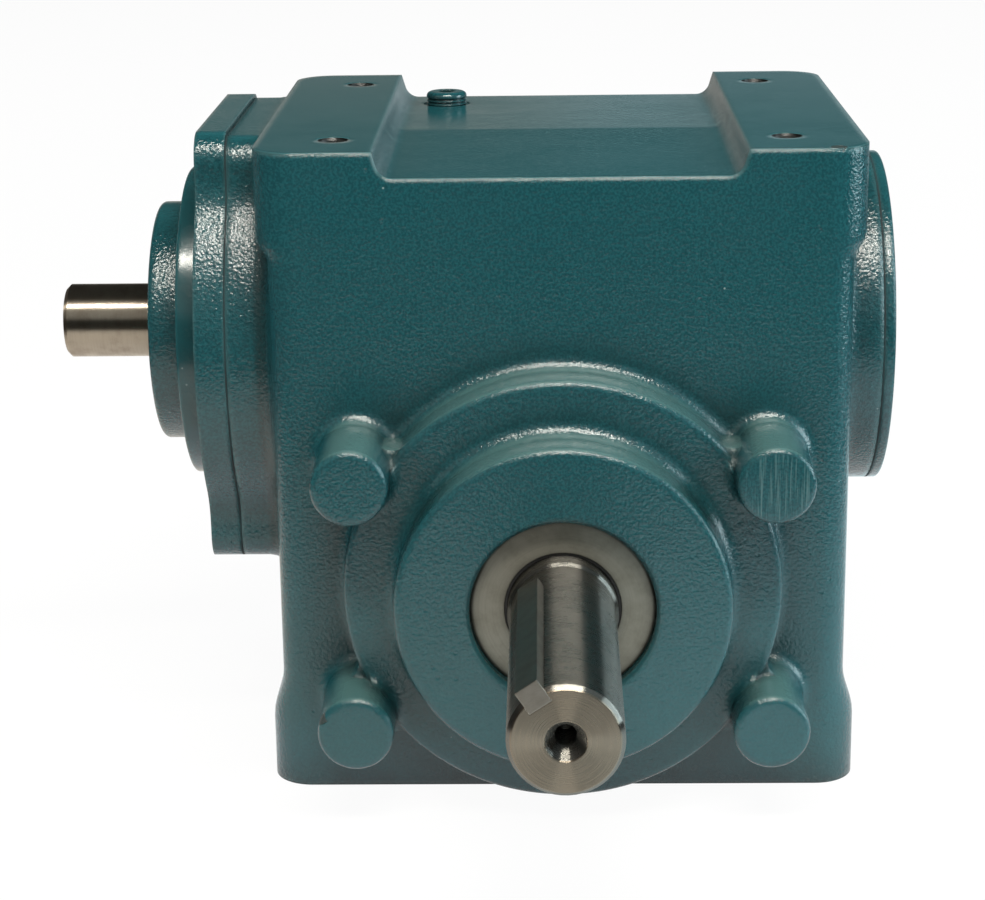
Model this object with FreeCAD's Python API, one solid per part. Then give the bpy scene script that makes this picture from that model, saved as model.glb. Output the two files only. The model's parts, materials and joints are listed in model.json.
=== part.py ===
import FreeCAD, Part
import math
import os

from FreeCAD import Vector

# Right angle worm gear reducer. The worm lies along X with its input end at -X, the wheel
# and output shaft lie along Y with the output end at -Y, and Z is up. The origin is on the
# base plane, at the centre of the base bolt pattern. All sizes are millimetres.

# Shaft axes
axis_height = 63.5
center_distance = 57.15

# Cast case
case_width = 161.0
case_depth = 151.4
case_corner_r = 8.0
wall = 11.5
floor_thickness = 22.0
cavity_corner_r = 7.0
foot_overhang = 3.5
top_foot_height = 24.6
top_foot_slope = 6.6
base_foot_height = 18.0
base_foot_slope = 15.5
foot_sweep_steps = 6
pad_gap = 101.6
recess_depth = 7.2
recess_crown = 1.2
recess_side_run = 2.2
recess_fillet_r = 4.5
foot_hole_r = 4.2
foot_hole_depth = 16.0
foot_hole_spacing_x = 125.4
foot_hole_spacing_y = 107.95

# Output side of the case: ring, hub and four solid bosses
ring_r = 60.6
ring_height = 14.8
hub_r = 46.0
hub_height = 15.2
boss_r = 10.5
boss_spacing_x = 114.3
boss_spacing_z = 70.6
cast_fillet_r = 3.5
hub_fillet_r = 4.0
boss_notch_r = 5.0
blend_sink = 0.2
blend_overlap = 0.5
cast_edge_r = 1.6

# Rear opening and its cover
rear_land_height = 9.8
rear_bore_r = 50.0
lug_r = 13.0
lug_fillet_r = 5.0
output_cover_thickness = 10.0
output_cover_hub_r = 38.0
output_cover_hub_height = 5.0
rear_cup_inset = 4.0
journal_relief = 4.0

# Input side
input_flange_reach = 13.5
input_flange_r = 62.5
ear_width = 88.0
ear_rise = 62.2
ear_drop = 63.2
ear_cover_lift = 1.2
ear_corner_r = 8.0
ear_fillet_r = 20.0
flange_blend_r = 6.0
flange_blend_steps = 4
ear_screw_inset = 15.0
input_cover_thickness = 8.6
pilot_r = 46.5
pilot_height = 7.5
input_boss_r = 36.0
input_boss_height = 9.7
cover_throat_r = 13.5
spigot_wall = 4.5
left_cup_inset = 1.5

# Closed end of the worm
end_flange_r = 49.4
end_flange_reach = 11.4
end_cover_thickness = 3.0
end_screw_circle_r = 39.0
end_flange_blend_r = 5.0

# Gaskets, fits and clearances
gasket_thickness = 0.5
cover_fit = 0.1
thread_fit = 0.1
running_fit = 0.05
hole_clearance = 0.4
end_play = 0.5
overcut = 1.0
tap_runout = 2.0
edge_break = 0.8

# Output shaft and its key
output_r = 14.2875
output_extension = 87.0
output_journal_r = 15.08
output_journal_reach = 1.2
wheel_seat_r = 17.5
output_collar_r = 19.5
shaft_chamfer = 1.2
center_hole_r = 5.2
center_drill_r = 2.7
center_drill_depth = 14.0
center_drill_tip = 1.5
shaft_tail_r = 1.0
output_key_size = 6.35
output_key_length = 72.0
output_keyway_floor = 10.5
output_key_angle = -34.0

# Worm shaft and its key
input_r = 11.1125
input_extension = 29.6
input_journal_r = 11.5
worm_relief = 0.6
worm_collar_r = 16.0
worm_neck_length = 12.0
worm_neck_fillet_r = 2.5
worm_collar_edge_r = 1.5
worm_core_overlap = 3.0
worm_tail_gap = 1.0
input_center_r = 3.4
input_center_tip_r = 0.6
input_center_depth = 5.0
input_key_size = 4.76
input_key_length = 22.0
input_keyway_floor = 8.7
input_key_angle = 215.0

# Worm and wheel teeth
worm_pitch_r = 15.875
wheel_teeth = 30
pressure_angle = 20.0
backlash = 0.4
thread_trim = 0.4
root_factor = 1.2
rim_tip_factor = 1.35
worm_length = 52.0
rim_width = 24.0
rim_seat_r = 35.5
hub_band = 3.5
wheel_web = 13.0
wheel_hub_r = 27.0
wheel_hub_width = 34.0
wheel_fillet_r = 2.0
wheel_key_size = 6.35
wheel_key_length = 28.0
spacer_wall = 3.0

# Tapered roller bearings
output_bearing_bore_r = 15.875
output_bearing_r = 29.565
output_roller_r = 3.2
worm_bearing_bore_r = 12.5
worm_bearing_r = 26.0
worm_roller_r = 3.0
bearing_width = 16.0
roller_length = 11.0
roller_count = 12
roller_tilt = 12.0
cage_thickness = 1.2
cage_play = 0.3
cage_overhang = 1.6
pitch_offset = 0.3
rib_height = 0.8
rib_factor = 0.6

# Shaft seals
output_seal_r = 25.4
output_seal_eye_r = 16.0
output_seal_recess = 3.8
input_seal_r = 20.0
input_seal_eye_r = 12.6
input_seal_recess = 1.5
seal_width = 9.0
seal_shell = 1.4
seal_seat_step = 0.7
seal_edge_r = 1.1
lip_recess = 0.3
lip_taper = 3.0
lip_web = 1.5
lip_thickness = 2.2
bore_chamfer = 1.0

# Screws and plugs
bolt_r = 3.9
bolt_flats = 12.7
bolt_head_height = 5.4
bolt_crown_wide = 0.66
bolt_crown_top = 0.47
bolt_grip = 14.0
cap_screw_r = 3.0
cap_screw_head_r = 5.0
cap_screw_head_height = 4.4
cap_screw_grip = 11.0
cap_screw_socket = 4.8
cap_screw_socket_depth = 2.6
flat_screw_r = 2.8
flat_screw_head_r = 5.2
flat_screw_grip = 9.0
flat_screw_socket = 3.6
flat_screw_socket_depth = 1.6
plug_r = 4.8
plug_head_r = 6.4
plug_head_height = 4.3
plug_thread_pitch = 1.05
plug_thread_depth = 0.5
plug_shoulder_r = 1.4
plug_length = 11.0
plug_socket = 5.2
plug_socket_depth = 2.2
plug_spot_r = 7.4
fill_plug_x = -35.5
fill_plug_inset = 17.7
side_plug_inset = 30.7
level_plug_z = 76.0
drain_plug_z = 46.0

# Places worked out from the sizes above
case_height = 2 * axis_height + center_distance
worm_z = axis_height + center_distance
half_width = case_width / 2
half_depth = case_depth / 2
ring_face_y = -half_depth - ring_height
hub_face_y = ring_face_y - hub_height
tip_y = hub_face_y - output_extension
rear_land_y = half_depth + rear_land_height
cover_seat_y = rear_land_y + gasket_thickness
cover_face_y = cover_seat_y + output_cover_thickness
flange_x = -half_width - input_flange_reach
cover_seat_x = flange_x - gasket_thickness
ear_face_x = cover_seat_x - input_cover_thickness
pilot_face_x = ear_face_x - pilot_height
input_face_x = pilot_face_x - input_boss_height
end_land_x = half_width + end_flange_reach
end_seat_x = end_land_x + gasket_thickness
end_face_x = end_seat_x + end_cover_thickness
input_tip_x = input_face_x - input_extension
output_seal_y = hub_face_y + output_seal_recess
front_cup_y = output_seal_y + seal_width + seal_seat_step
rear_cup_y = cover_seat_y - rear_cup_inset
left_cup_x = flange_x + left_cup_inset
right_cup_x = end_land_x
input_seal_x = input_face_x + input_seal_recess
boss_places = [(sx * boss_spacing_x / 2, axis_height + sz * boss_spacing_z / 2)
               for sx in (-1, 1) for sz in (-1, 1)]
fill_plug_y = half_depth - fill_plug_inset
side_plug_y = half_depth - side_plug_inset
ear_places = [(sy * (ear_width / 2 - ear_screw_inset), z) for sy in (-1, 1)
              for z in (worm_z + ear_rise - ear_screw_inset, worm_z - ear_drop + ear_screw_inset)]
end_screw_places = [(end_screw_circle_r * math.cos(a), worm_z + end_screw_circle_r * math.sin(a))
                    for a in (math.radians(45 + 90 * k) for k in range(4))]
foot_places = [(sx * foot_hole_spacing_x / 2, sy * foot_hole_spacing_y / 2)
               for sx in (-1, 1) for sy in (-1, 1)]
wheel_pitch_r = center_distance - worm_pitch_r
module = 2 * wheel_pitch_r / wheel_teeth
axial_pitch = math.pi * module
lead_angle = math.atan(axial_pitch / (2 * math.pi * worm_pitch_r))

X = Vector(1, 0, 0)
Y = Vector(0, 1, 0)
Z = Vector(0, 0, 1)
ORIGIN = Vector(0, 0, 0)


# Drawing helpers

def outline(points):
    """Closed wire through 2D points (u, v) or (u, v, r), with corner r rounded by an arc."""
    corners = []
    count = len(points)
    for i, point in enumerate(points):
        here = Vector(point[0], point[1], 0)
        radius = point[2] if len(point) > 2 else 0
        if not radius:
            corners.append((here, here, None))
            continue
        before = Vector(*points[i - 1][:2], 0) - here
        after = Vector(*points[(i + 1) % count][:2], 0) - here
        before.normalize()
        after.normalize()
        half = before.getAngle(after) / 2
        run = radius / math.tan(half)
        bisector = before + after
        bisector.normalize()
        middle = here + bisector * (radius / math.sin(half) - radius)
        corners.append((here + before * run, here + after * run, middle))
    edges = []
    for i, (start, end, middle) in enumerate(corners):
        if middle is not None:
            edges.append(Part.Arc(start, middle, end).toShape())
        following = corners[(i + 1) % count][0]
        if (following - end).Length > 1e-6:
            edges.append(Part.makeLine(end, following))
    return Part.Wire(edges)


def turned(points):
    """Solid of revolution about X from (x, radius) or (x, radius, corner radius) points."""
    return Part.Face(outline(points)).revolve(ORIGIN, X, 360)


def tube(x0, x1, inner_r, outer_r):
    return turned([(x0, inner_r), (x1, inner_r), (x1, outer_r), (x0, outer_r)])


def on_worm_axis(shape):
    return shape.translated(Vector(0, 0, worm_z))


def on_output_axis(shape):
    placed = shape.copy()
    placed.rotate(ORIGIN, Z, 90)
    return placed.translated(Vector(0, 0, axis_height))


def rod_x(x0, x1, radius, y, z):
    return Part.makeCylinder(radius, x1 - x0, Vector(x0, y, z), X)


def rod_y(y0, y1, radius, x, z):
    return Part.makeCylinder(radius, y1 - y0, Vector(x, y0, z), Y)


def rod_z(z0, z1, radius, x, y):
    return Part.makeCylinder(radius, z1 - z0, Vector(x, y, z0), Z)


def joined(shapes):
    return shapes[0].multiFuse(shapes[1:]).removeSplitter()


def straight_edges_at(shape, direction, places, reach):
    """Straight edges along one axis that pass within reach of the listed cross points."""
    found = []
    for edge in shape.Edges:
        ends = [vertex.Point for vertex in edge.Vertexes]
        if len(ends) != 2 or not isinstance(edge.Curve, Part.Line):
            continue
        run = ends[1] - ends[0]
        if run.Length < 1e-6 or abs(run.normalize().dot(direction)) < 0.999:
            continue
        middle = (ends[0] + ends[1]) / 2
        flat = middle - direction * middle.dot(direction)
        if any((flat - place).Length < reach for place in places):
            found.append(edge)
    return found


# Case

def plan_wire(width, corner_r, z):
    """Rounded rectangle of the case in plan, at height z."""
    w = width / 2
    d = half_depth
    wire = outline([(-w, -d, corner_r), (w, -d, corner_r), (w, d, corner_r), (-w, d, corner_r)])
    return wire.translated(Vector(0, 0, z))


def foot(pad_z, shoulder_z, wall_z):
    """Mounting foot that overhangs both side walls and sweeps back into them in a soft S."""
    sections = []
    for step in range(foot_sweep_steps + 1):
        share = step / foot_sweep_steps
        reach = foot_overhang * (1 - share * share * (3 - 2 * share))
        sections.append(plan_wire(case_width + 2 * reach, case_corner_r + reach,
                                  shoulder_z + (wall_z - shoulder_z) * share))
    straight = Part.Face(sections[0]).extrude(Z * (pad_z - shoulder_z))
    return [straight, Part.makeLoft(sections, True, True)]


def recess_wire(y, depth):
    """Cross section of the trough between the two pads, above the case at height zero."""
    edge = pad_gap / 2
    floor = edge - recess_side_run
    lip = edge + overcut * recess_side_run / depth
    wire = outline([(-lip, overcut), (-floor, -depth, recess_fillet_r),
                    (floor, -depth, recess_fillet_r), (lip, overcut)])
    wire.rotate(ORIGIN, X, 90)
    return wire.translated(Vector(0, y, case_height))


def pad_recess():
    crest = recess_wire(0, recess_depth - recess_crown)
    ends = [recess_wire(side * half_depth, recess_depth) for side in (-1, 1)]
    return joined([Part.makeLoft([crest, end], True, True) for end in ends])


def lobed_disc(y0, y1, disc_r, lobe_r, fillet_r):
    """Disc on the output axis joined to four round lobes on the boss places, with filleted notches."""
    lobes = [rod_y(y0, y1, lobe_r, x, z) for x, z in boss_places]
    disc = joined([rod_y(y0, y1, disc_r, 0, axis_height)] + lobes)
    notches = []
    for x, z in boss_places:
        reach = math.hypot(x, z - axis_height)
        along = (reach ** 2 + disc_r ** 2 - lobe_r ** 2) / (2 * reach)
        across = math.sqrt(disc_r ** 2 - along ** 2)
        out = Vector(x, 0, z - axis_height) / reach
        side = Vector(-out.z, 0, out.x)
        notches += [out * along + side * across * s + Z * axis_height for s in (-1, 1)]
    return disc.makeFillet(fillet_r, straight_edges_at(disc, Y, notches, 0.5))


def flared_post(foot_y, sunk_y, top_y, radius, top_fillet_r):
    """Post along Y with a concave cast fillet where it leaves the plane at foot_y."""
    flare = radius + cast_fillet_r + blend_overlap
    top = (top_y, radius, top_fillet_r) if top_fillet_r else (top_y, radius)
    return turned([(sunk_y, 0), (sunk_y, flare), (foot_y, flare), (foot_y, radius, cast_fillet_r),
                   top, (top_y, 0)])


def front_relief():
    """Ring, hub and four bosses on the output face, blended into the wall and into each other."""
    face = -half_depth
    root = face + wall / 2
    flare = ring_r + cast_fillet_r + blend_overlap
    ring = on_output_axis(turned([(root, 0), (root, flare), (face, flare), (face, ring_r, cast_fillet_r),
                                  (ring_face_y, ring_r, cast_edge_r), (ring_face_y, hub_r, hub_fillet_r),
                                  (hub_face_y, hub_r, cast_edge_r), (hub_face_y, 0)]))
    notch_fill = lobed_disc(ring_face_y + cast_edge_r, root, ring_r - blend_sink,
                            boss_r - blend_sink, boss_notch_r)
    solids = [ring, notch_fill]
    boss = flared_post(face, root, hub_face_y, boss_r, cast_edge_r)
    step = flared_post(ring_face_y, ring_face_y + 2 * overcut, hub_face_y + cast_edge_r,
                       boss_r - blend_sink, 0)
    ring_top = rod_y(hub_face_y, ring_face_y + overcut, ring_r - cast_edge_r, 0, axis_height)
    for x, z in boss_places:
        for post in (boss, step):
            placed = post.copy()
            placed.rotate(ORIGIN, Z, 90)
            placed = placed.translated(Vector(x, 0, z))
            solids.append(placed if post is boss else placed.common(ring_top))
    return solids


def rear_land(y0, y1):
    """Land of the rear opening, as on the case and its cover."""
    return lobed_disc(y0, y1, ring_r, lug_r, lug_fillet_r)


def ear_wire(x, grow, lift):
    """Input flange outline at x: a disc on the worm axis that sweeps into an upright plate."""
    w = ear_width / 2 + grow
    disc_r = input_flange_r + grow
    sweep_r = ear_fillet_r - grow
    corner_r = ear_corner_r + grow
    rise = math.sqrt((disc_r + sweep_r) ** 2 - (w + sweep_r) ** 2)
    share = disc_r / (disc_r + sweep_r)
    bevel = corner_r * (1 - math.sqrt(0.5))
    above = ear_rise + lift + grow
    below = ear_drop + grow
    edges = []
    for turn, low, high in ((1, below, above), (-1, above, below)):

        def at(y, z):
            return Vector(x, turn * y, worm_z + turn * z)

        def sweep(z_sign):
            heart = Vector(0, w + sweep_r, z_sign * rise)
            inward = (heart * (share - 1)).normalize() + Vector(0, -1, 0)
            middle = heart + inward.normalize() * sweep_r
            return [at(w, z_sign * rise), at(middle.y, middle.z), at(heart.y * share, heart.z * share)]

        lower = sweep(-1)
        upper = sweep(1)
        foot_corner = [at(w - corner_r, -low), at(w - bevel, bevel - low), at(w, corner_r - low)]
        head_corner = [at(w, high - corner_r), at(w - bevel, high - bevel), at(w - corner_r, high)]
        edges += [Part.Arc(*foot_corner).toShape(), Part.makeLine(foot_corner[2], lower[0]),
                  Part.Arc(*lower).toShape(), Part.Arc(lower[2], at(disc_r, 0), upper[2]).toShape(),
                  Part.Arc(*reversed(upper)).toShape(), Part.makeLine(upper[0], head_corner[0]),
                  Part.Arc(*head_corner).toShape(), Part.makeLine(head_corner[2], at(corner_r - w, high))]
    return Part.Wire(edges)


def ear_plate(x0, x1, lift):
    return Part.Face(ear_wire(x0, 0, lift)).extrude(X * (x1 - x0))


def input_flange():
    """Flange of the case for the input cover, with a cast cove where it leaves the wall."""
    sections = []
    for step in range(flange_blend_steps + 1):
        turn = math.pi / 2 * step / flange_blend_steps
        reach = flange_blend_r * (1 - math.cos(turn))
        sections.append(ear_wire(-half_width - reach, flange_blend_r * (1 - math.sin(turn)), 0))
    cove = Part.makeLoft(sections, True, True)
    root = Part.Face(sections[0]).extrude(X * (wall / 2))
    room = Part.makeBox(2 * flange_blend_r + wall, case_depth, worm_z + ear_rise,
                        Vector(-half_width - 2 * flange_blend_r, -half_depth, 0))
    return [ear_plate(flange_x, -half_width, 0), cove.common(room), root.common(room)]


def cavity():
    """Oil space inside the case: a rounded box opened to the rear by the wheel's bore."""
    w = half_width - wall
    d = half_depth - wall
    wire = outline([(-w, -d, cavity_corner_r), (w, -d, cavity_corner_r),
                    (w, d, cavity_corner_r), (-w, d, cavity_corner_r)])
    box = Part.Face(wire).extrude(Z * (case_height - 2 * floor_thickness))
    box = box.translated(Vector(0, 0, floor_thickness))
    wheel_room = rod_y(-rim_width - wall, rear_land_y, rear_bore_r, 0, axis_height)
    return joined([box, wheel_room])


def case_bores():
    """Turned seats for the seal, the bearing cups and the tapped holes."""
    mouth_y = hub_face_y - overcut
    seal_bore = turned([(mouth_y, 0), (mouth_y, output_seal_r + bore_chamfer + overcut),
                        (hub_face_y + bore_chamfer, output_seal_r), (front_cup_y, output_seal_r),
                        (front_cup_y, output_bearing_r), (0, output_bearing_r), (0, 0)])
    cuts = [on_output_axis(seal_bore)]
    cuts.append(rod_x(flange_x, 0, worm_bearing_r, 0, worm_z))
    cuts.append(rod_x(0, end_land_x, worm_bearing_r, 0, worm_z))
    for x, y in foot_places:
        cuts.append(rod_z(0, foot_hole_depth, foot_hole_r, x, y))
        cuts.append(rod_z(case_height - foot_hole_depth, case_height, foot_hole_r, x, y))
    tap_r = bolt_r + thread_fit
    cuts += [rod_y(rear_land_y - bolt_grip - tap_runout, rear_land_y, tap_r, x, z) for x, z in boss_places]
    tap_r = cap_screw_r + thread_fit
    cuts += [rod_x(flange_x, flange_x + cap_screw_grip + tap_runout, tap_r, y, z) for y, z in ear_places]
    tap_r = flat_screw_r + thread_fit
    tap_end = end_land_x - flat_screw_grip - tap_runout
    cuts += [rod_x(tap_end, end_land_x, tap_r, y, z) for y, z in end_screw_places]
    tap_r = plug_r + thread_fit
    spot_z = case_height - recess_depth
    roof_z = case_height - floor_thickness
    cuts.append(rod_z(roof_z - overcut, case_height, tap_r, fill_plug_x, fill_plug_y))
    cuts.append(rod_z(spot_z, case_height, plug_spot_r, fill_plug_x, fill_plug_y))
    cuts += [rod_x(0, half_width, tap_r, side_plug_y, z) for z in (level_plug_z, drain_plug_z)]
    return cuts


def housing():
    blank = Part.Face(plan_wire(case_width, case_corner_r, 0)).extrude(Z * case_height)
    solids = [blank]
    solids += foot(0, base_foot_height, base_foot_height + base_foot_slope)
    top_shoulder = case_height - top_foot_height
    solids += foot(case_height, top_shoulder, top_shoulder - top_foot_slope)
    solids += front_relief()
    solids.append(rear_land(half_depth - wall / 2, rear_land_y))
    solids += input_flange()
    end_root = half_width - wall / 2
    end_flare = end_flange_r + end_flange_blend_r + blend_overlap
    solids.append(on_worm_axis(turned([(end_root, 0), (end_root, end_flare), (half_width, end_flare),
                                       (half_width, end_flange_r, end_flange_blend_r),
                                       (end_land_x, end_flange_r), (end_land_x, 0)])))
    body = joined(solids)
    below = Part.makeBox(2 * case_width, 2 * case_depth + 2 * ring_height, ring_r,
                         Vector(-case_width, -case_depth - ring_height, -ring_r))
    cuts = [below, pad_recess(), cavity()] + case_bores()
    return body.cut(cuts).removeSplitter()


# Covers, gaskets and seals

def input_cover():
    plate = ear_plate(ear_face_x, cover_seat_x, ear_cover_lift)
    nose = turned([(cover_seat_x, 0), (ear_face_x, 0), (pilot_face_x, 0), (input_face_x, 0),
                   (input_face_x, input_boss_r, cast_edge_r), (pilot_face_x, input_boss_r),
                   (pilot_face_x, pilot_r, edge_break), (cover_seat_x, pilot_r)])
    spigot_eye_r = worm_bearing_r - spigot_wall
    spigot = tube(cover_seat_x, left_cup_x, spigot_eye_r, worm_bearing_r - cover_fit)
    seat_end = input_seal_x + seal_width
    bore = turned([(input_face_x, 0), (input_face_x, input_seal_r + bore_chamfer),
                   (input_face_x + bore_chamfer, input_seal_r), (seat_end, input_seal_r),
                   (seat_end, cover_throat_r), (ear_face_x, cover_throat_r), (ear_face_x, spigot_eye_r),
                   (cover_seat_x, spigot_eye_r), (cover_seat_x, 0)])
    body = joined([plate, on_worm_axis(nose), on_worm_axis(spigot)])
    cuts = [on_worm_axis(bore)]
    shank_r = cap_screw_r + hole_clearance
    sunk_x = ear_face_x + cap_screw_head_height
    cuts += [rod_x(ear_face_x, cover_seat_x, shank_r, y, z) for y, z in ear_places]
    cuts += [rod_x(ear_face_x, sunk_x, cap_screw_head_r + hole_clearance, y, z) for y, z in ear_places]
    return body.cut(cuts).removeSplitter()


def input_cover_gasket():
    sheet = ear_plate(cover_seat_x, flange_x, 0)
    cuts = [rod_x(cover_seat_x, flange_x, worm_bearing_r + cover_fit, 0, worm_z)]
    cuts += [rod_x(cover_seat_x, flange_x, cap_screw_r + hole_clearance, y, z) for y, z in ear_places]
    return sheet.cut(cuts)


def output_cover():
    plate = rear_land(cover_seat_y, cover_face_y)
    spigot_r = rear_bore_r - cover_fit
    lip_y = rear_cup_y - bearing_width - overcut
    cap_y = cover_face_y + output_cover_hub_height
    relief_r = output_journal_r + journal_relief
    turning = turned([(lip_y, output_bearing_r), (rear_cup_y, output_bearing_r), (rear_cup_y, relief_r),
                      (cover_seat_y, relief_r), (cover_seat_y, 0), (cap_y, 0),
                      (cap_y, output_cover_hub_r, cast_edge_r),
                      (cover_face_y, output_cover_hub_r, cast_fillet_r),
                      (cover_face_y, spigot_r), (lip_y, spigot_r)])
    body = joined([plate, on_output_axis(turning)])
    hole_r = bolt_r + hole_clearance
    return body.cut([rod_y(cover_seat_y, cover_face_y, hole_r, x, z) for x, z in boss_places])


def output_cover_gasket():
    sheet = rear_land(rear_land_y, cover_seat_y)
    cuts = [rod_y(rear_land_y, cover_seat_y, rear_bore_r, 0, axis_height)]
    cuts += [rod_y(rear_land_y, cover_seat_y, bolt_r + hole_clearance, x, z) for x, z in boss_places]
    return sheet.cut(cuts)


def end_cover():
    spigot_r = worm_bearing_r - cover_fit
    eye_r = spigot_r - spigot_wall
    disc = turned([(end_seat_x, 0), (end_seat_x, eye_r), (right_cup_x, eye_r),
                   (right_cup_x, spigot_r), (end_seat_x, spigot_r), (end_seat_x, end_flange_r),
                   (end_face_x, end_flange_r, edge_break), (end_face_x, 0)])
    cuts = []
    for y, z in end_screw_places:
        cuts.append(rod_x(end_seat_x, end_face_x, flat_screw_r + hole_clearance, y, z))
        cuts.append(flat_head(hole_clearance, y, z))
    return on_worm_axis(disc).cut(cuts)


def end_cover_gasket():
    sheet = on_worm_axis(tube(end_land_x, end_seat_x, worm_bearing_r, end_flange_r))
    return sheet.cut([rod_x(end_land_x, end_seat_x, flat_screw_r + hole_clearance, y, z)
                      for y, z in end_screw_places])


def seal_case(x, outer_r, eye_r):
    """Pressed steel shell of a shaft seal, with its closed face at x."""
    shell_r = outer_r - seal_shell
    return turned([(x, eye_r), (x, outer_r, seal_edge_r), (x + seal_width, outer_r),
                   (x + seal_width, shell_r), (x + seal_shell, shell_r), (x + seal_shell, eye_r)])


def seal_lip(x, outer_r, eye_r, shaft_r):
    """Rubber element bonded inside the shell, with its edge just clear of the shaft."""
    inner = shaft_r + running_fit
    body = x + seal_shell
    end = x + seal_width
    face = x + lip_recess
    edge = end - lip_web
    back_r = inner + lip_thickness
    return turned([(face, inner), (face, eye_r), (body, eye_r), (body, outer_r - seal_shell),
                   (end - lip_taper, outer_r - seal_shell), (body + lip_web, back_r), (edge, back_r),
                   (edge, inner)])


# Screws and plugs

def hexagon(flats, start, direction, length):
    """Hexagonal prism with the given width across flats."""
    radius = flats / math.sqrt(3)
    corners = [Vector(radius * math.cos(math.radians(60 * k)), radius * math.sin(math.radians(60 * k)), 0)
               for k in range(7)]
    prism = Part.Face(Part.makePolygon(corners)).extrude(Z * length)
    prism.Placement = FreeCAD.Placement(start, FreeCAD.Rotation(Z, direction))
    return prism


def hex_bolt(x, z):
    """Cover bolt seen from behind: washer faced hexagon head on a plain shank."""
    head = hexagon(bolt_flats, Vector(x, cover_face_y, z), Y, bolt_head_height)
    crown = Part.makeCone(bolt_flats * bolt_crown_wide, bolt_flats * bolt_crown_top, bolt_head_height,
                          Vector(x, cover_face_y, z), Y)
    shank = rod_y(rear_land_y - bolt_grip, cover_face_y, bolt_r, x, z)
    return joined([head.common(crown), shank])


def cap_screw(y, z):
    """Socket head screw sunk flush with the face of the input cover."""
    seat = ear_face_x + cap_screw_head_height
    head = rod_x(ear_face_x, seat, cap_screw_head_r, y, z)
    shank = rod_x(ear_face_x, flange_x + cap_screw_grip, cap_screw_r, y, z)
    socket = hexagon(cap_screw_socket, Vector(ear_face_x, y, z), X, cap_screw_socket_depth)
    return joined([head, shank]).cut(socket)


def flat_head(spare, y, z):
    """Cone of a countersunk head, grown by spare."""
    depth = flat_screw_head_r - flat_screw_r
    return Part.makeCone(flat_screw_r + spare, flat_screw_head_r + spare, depth,
                         Vector(end_face_x - depth, y, z), X)


def flat_screw(y, z):
    shank = rod_x(end_land_x - flat_screw_grip, end_face_x, flat_screw_r, y, z)
    socket = hexagon(flat_screw_socket, Vector(end_face_x - flat_screw_socket_depth, y, z), X,
                     flat_screw_socket_depth)
    return joined([flat_head(0, y, z), shank]).cut(socket)


def pipe_plug(seat, direction):
    """Tapered oil plug with a hexagon socket, two turns of its thread standing clear of the seat."""
    root_r = plug_head_r - plug_thread_depth
    profile = [(-plug_length, 0), (plug_head_height, 0), (plug_head_height, plug_head_r, plug_shoulder_r)]
    for turn in (2, 1, 0):
        profile.append(((turn + 0.5) * plug_thread_pitch, plug_head_r))
        profile.append((turn * plug_thread_pitch, root_r))
    profile += [(0, plug_r), (-plug_length, plug_r, edge_break)]
    socket = hexagon(plug_socket, Vector(plug_head_height - plug_socket_depth, 0, 0), X, plug_socket_depth)
    plug = turned(profile).cut(socket)
    plug.Placement = FreeCAD.Placement(seat, FreeCAD.Rotation(X, direction))
    return plug


# Tapered roller bearings, drawn about X with the outboard face at x = 0

def roller_bearing(bore_r, outer_r, roller_r):
    tilt = math.radians(roller_tilt)
    pitch_r = (bore_r + outer_r) / 2 + pitch_offset
    middle = bearing_width / 2
    apex = middle - pitch_r / math.tan(tilt)
    taper = math.atan(roller_r * math.sin(tilt) / pitch_r)

    def race(x, angle, gap):
        return (x - apex) * math.tan(angle) + gap

    def cup_r(x):
        return race(x, tilt + taper, running_fit)

    def cone_r(x):
        return race(x, tilt - taper, -running_fit)

    half_run = roller_length / 2 * math.cos(tilt)
    rib_gap = half_run + roller_r * math.sin(tilt) + cage_play
    rib_out = middle - rib_gap
    rib_in = middle + rib_gap
    cup = turned([(0, cup_r(0)), (bearing_width, cup_r(bearing_width)), (bearing_width, outer_r, edge_break),
                  (0, outer_r, edge_break)])
    big_rib_r = cone_r(rib_in) + roller_r * rib_factor
    small_rib_r = cone_r(rib_out) + rib_height
    cone = turned([(end_play, bore_r), (bearing_width + end_play, bore_r),
                   (bearing_width + end_play, big_rib_r), (rib_in, big_rib_r), (rib_in, cone_r(rib_in)),
                   (rib_out, cone_r(rib_out)), (rib_out, small_rib_r), (end_play, small_rib_r)])
    axis = Vector(math.cos(tilt), math.sin(tilt), 0)

    def roller(spare):
        length = roller_length + 2 * spare
        spread = length / 2 * math.tan(taper)
        base = Vector(middle, pitch_r, 0) - axis * (length / 2)
        return Part.makeCone(roller_r + spare - spread, roller_r + spare + spread, length, base, axis)

    def around(shape):
        copies = []
        for k in range(roller_count):
            copy = shape.copy()
            copy.rotate(ORIGIN, X, 360.0 * k / roller_count)
            copies.append(copy)
        return copies

    cage_run = half_run + cage_overhang
    half_sheet = cage_thickness / 2
    low = race(middle - cage_run, tilt, 0)
    high = race(middle + cage_run, tilt, 0)
    shell = turned([(middle - cage_run, low - half_sheet), (middle + cage_run, high - half_sheet),
                    (middle + cage_run, high + half_sheet), (middle - cage_run, low + half_sheet)])
    cage = shell.cut(around(roller(cage_play)))
    return {"cup": cup, "cone": cone, "rollers": Part.makeCompound(around(roller(0))), "cage": cage}


def turned_about(shape):
    flipped = shape.copy()
    flipped.rotate(ORIGIN, Z, 180)
    return flipped


# Output shaft, wheel and keys

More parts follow.
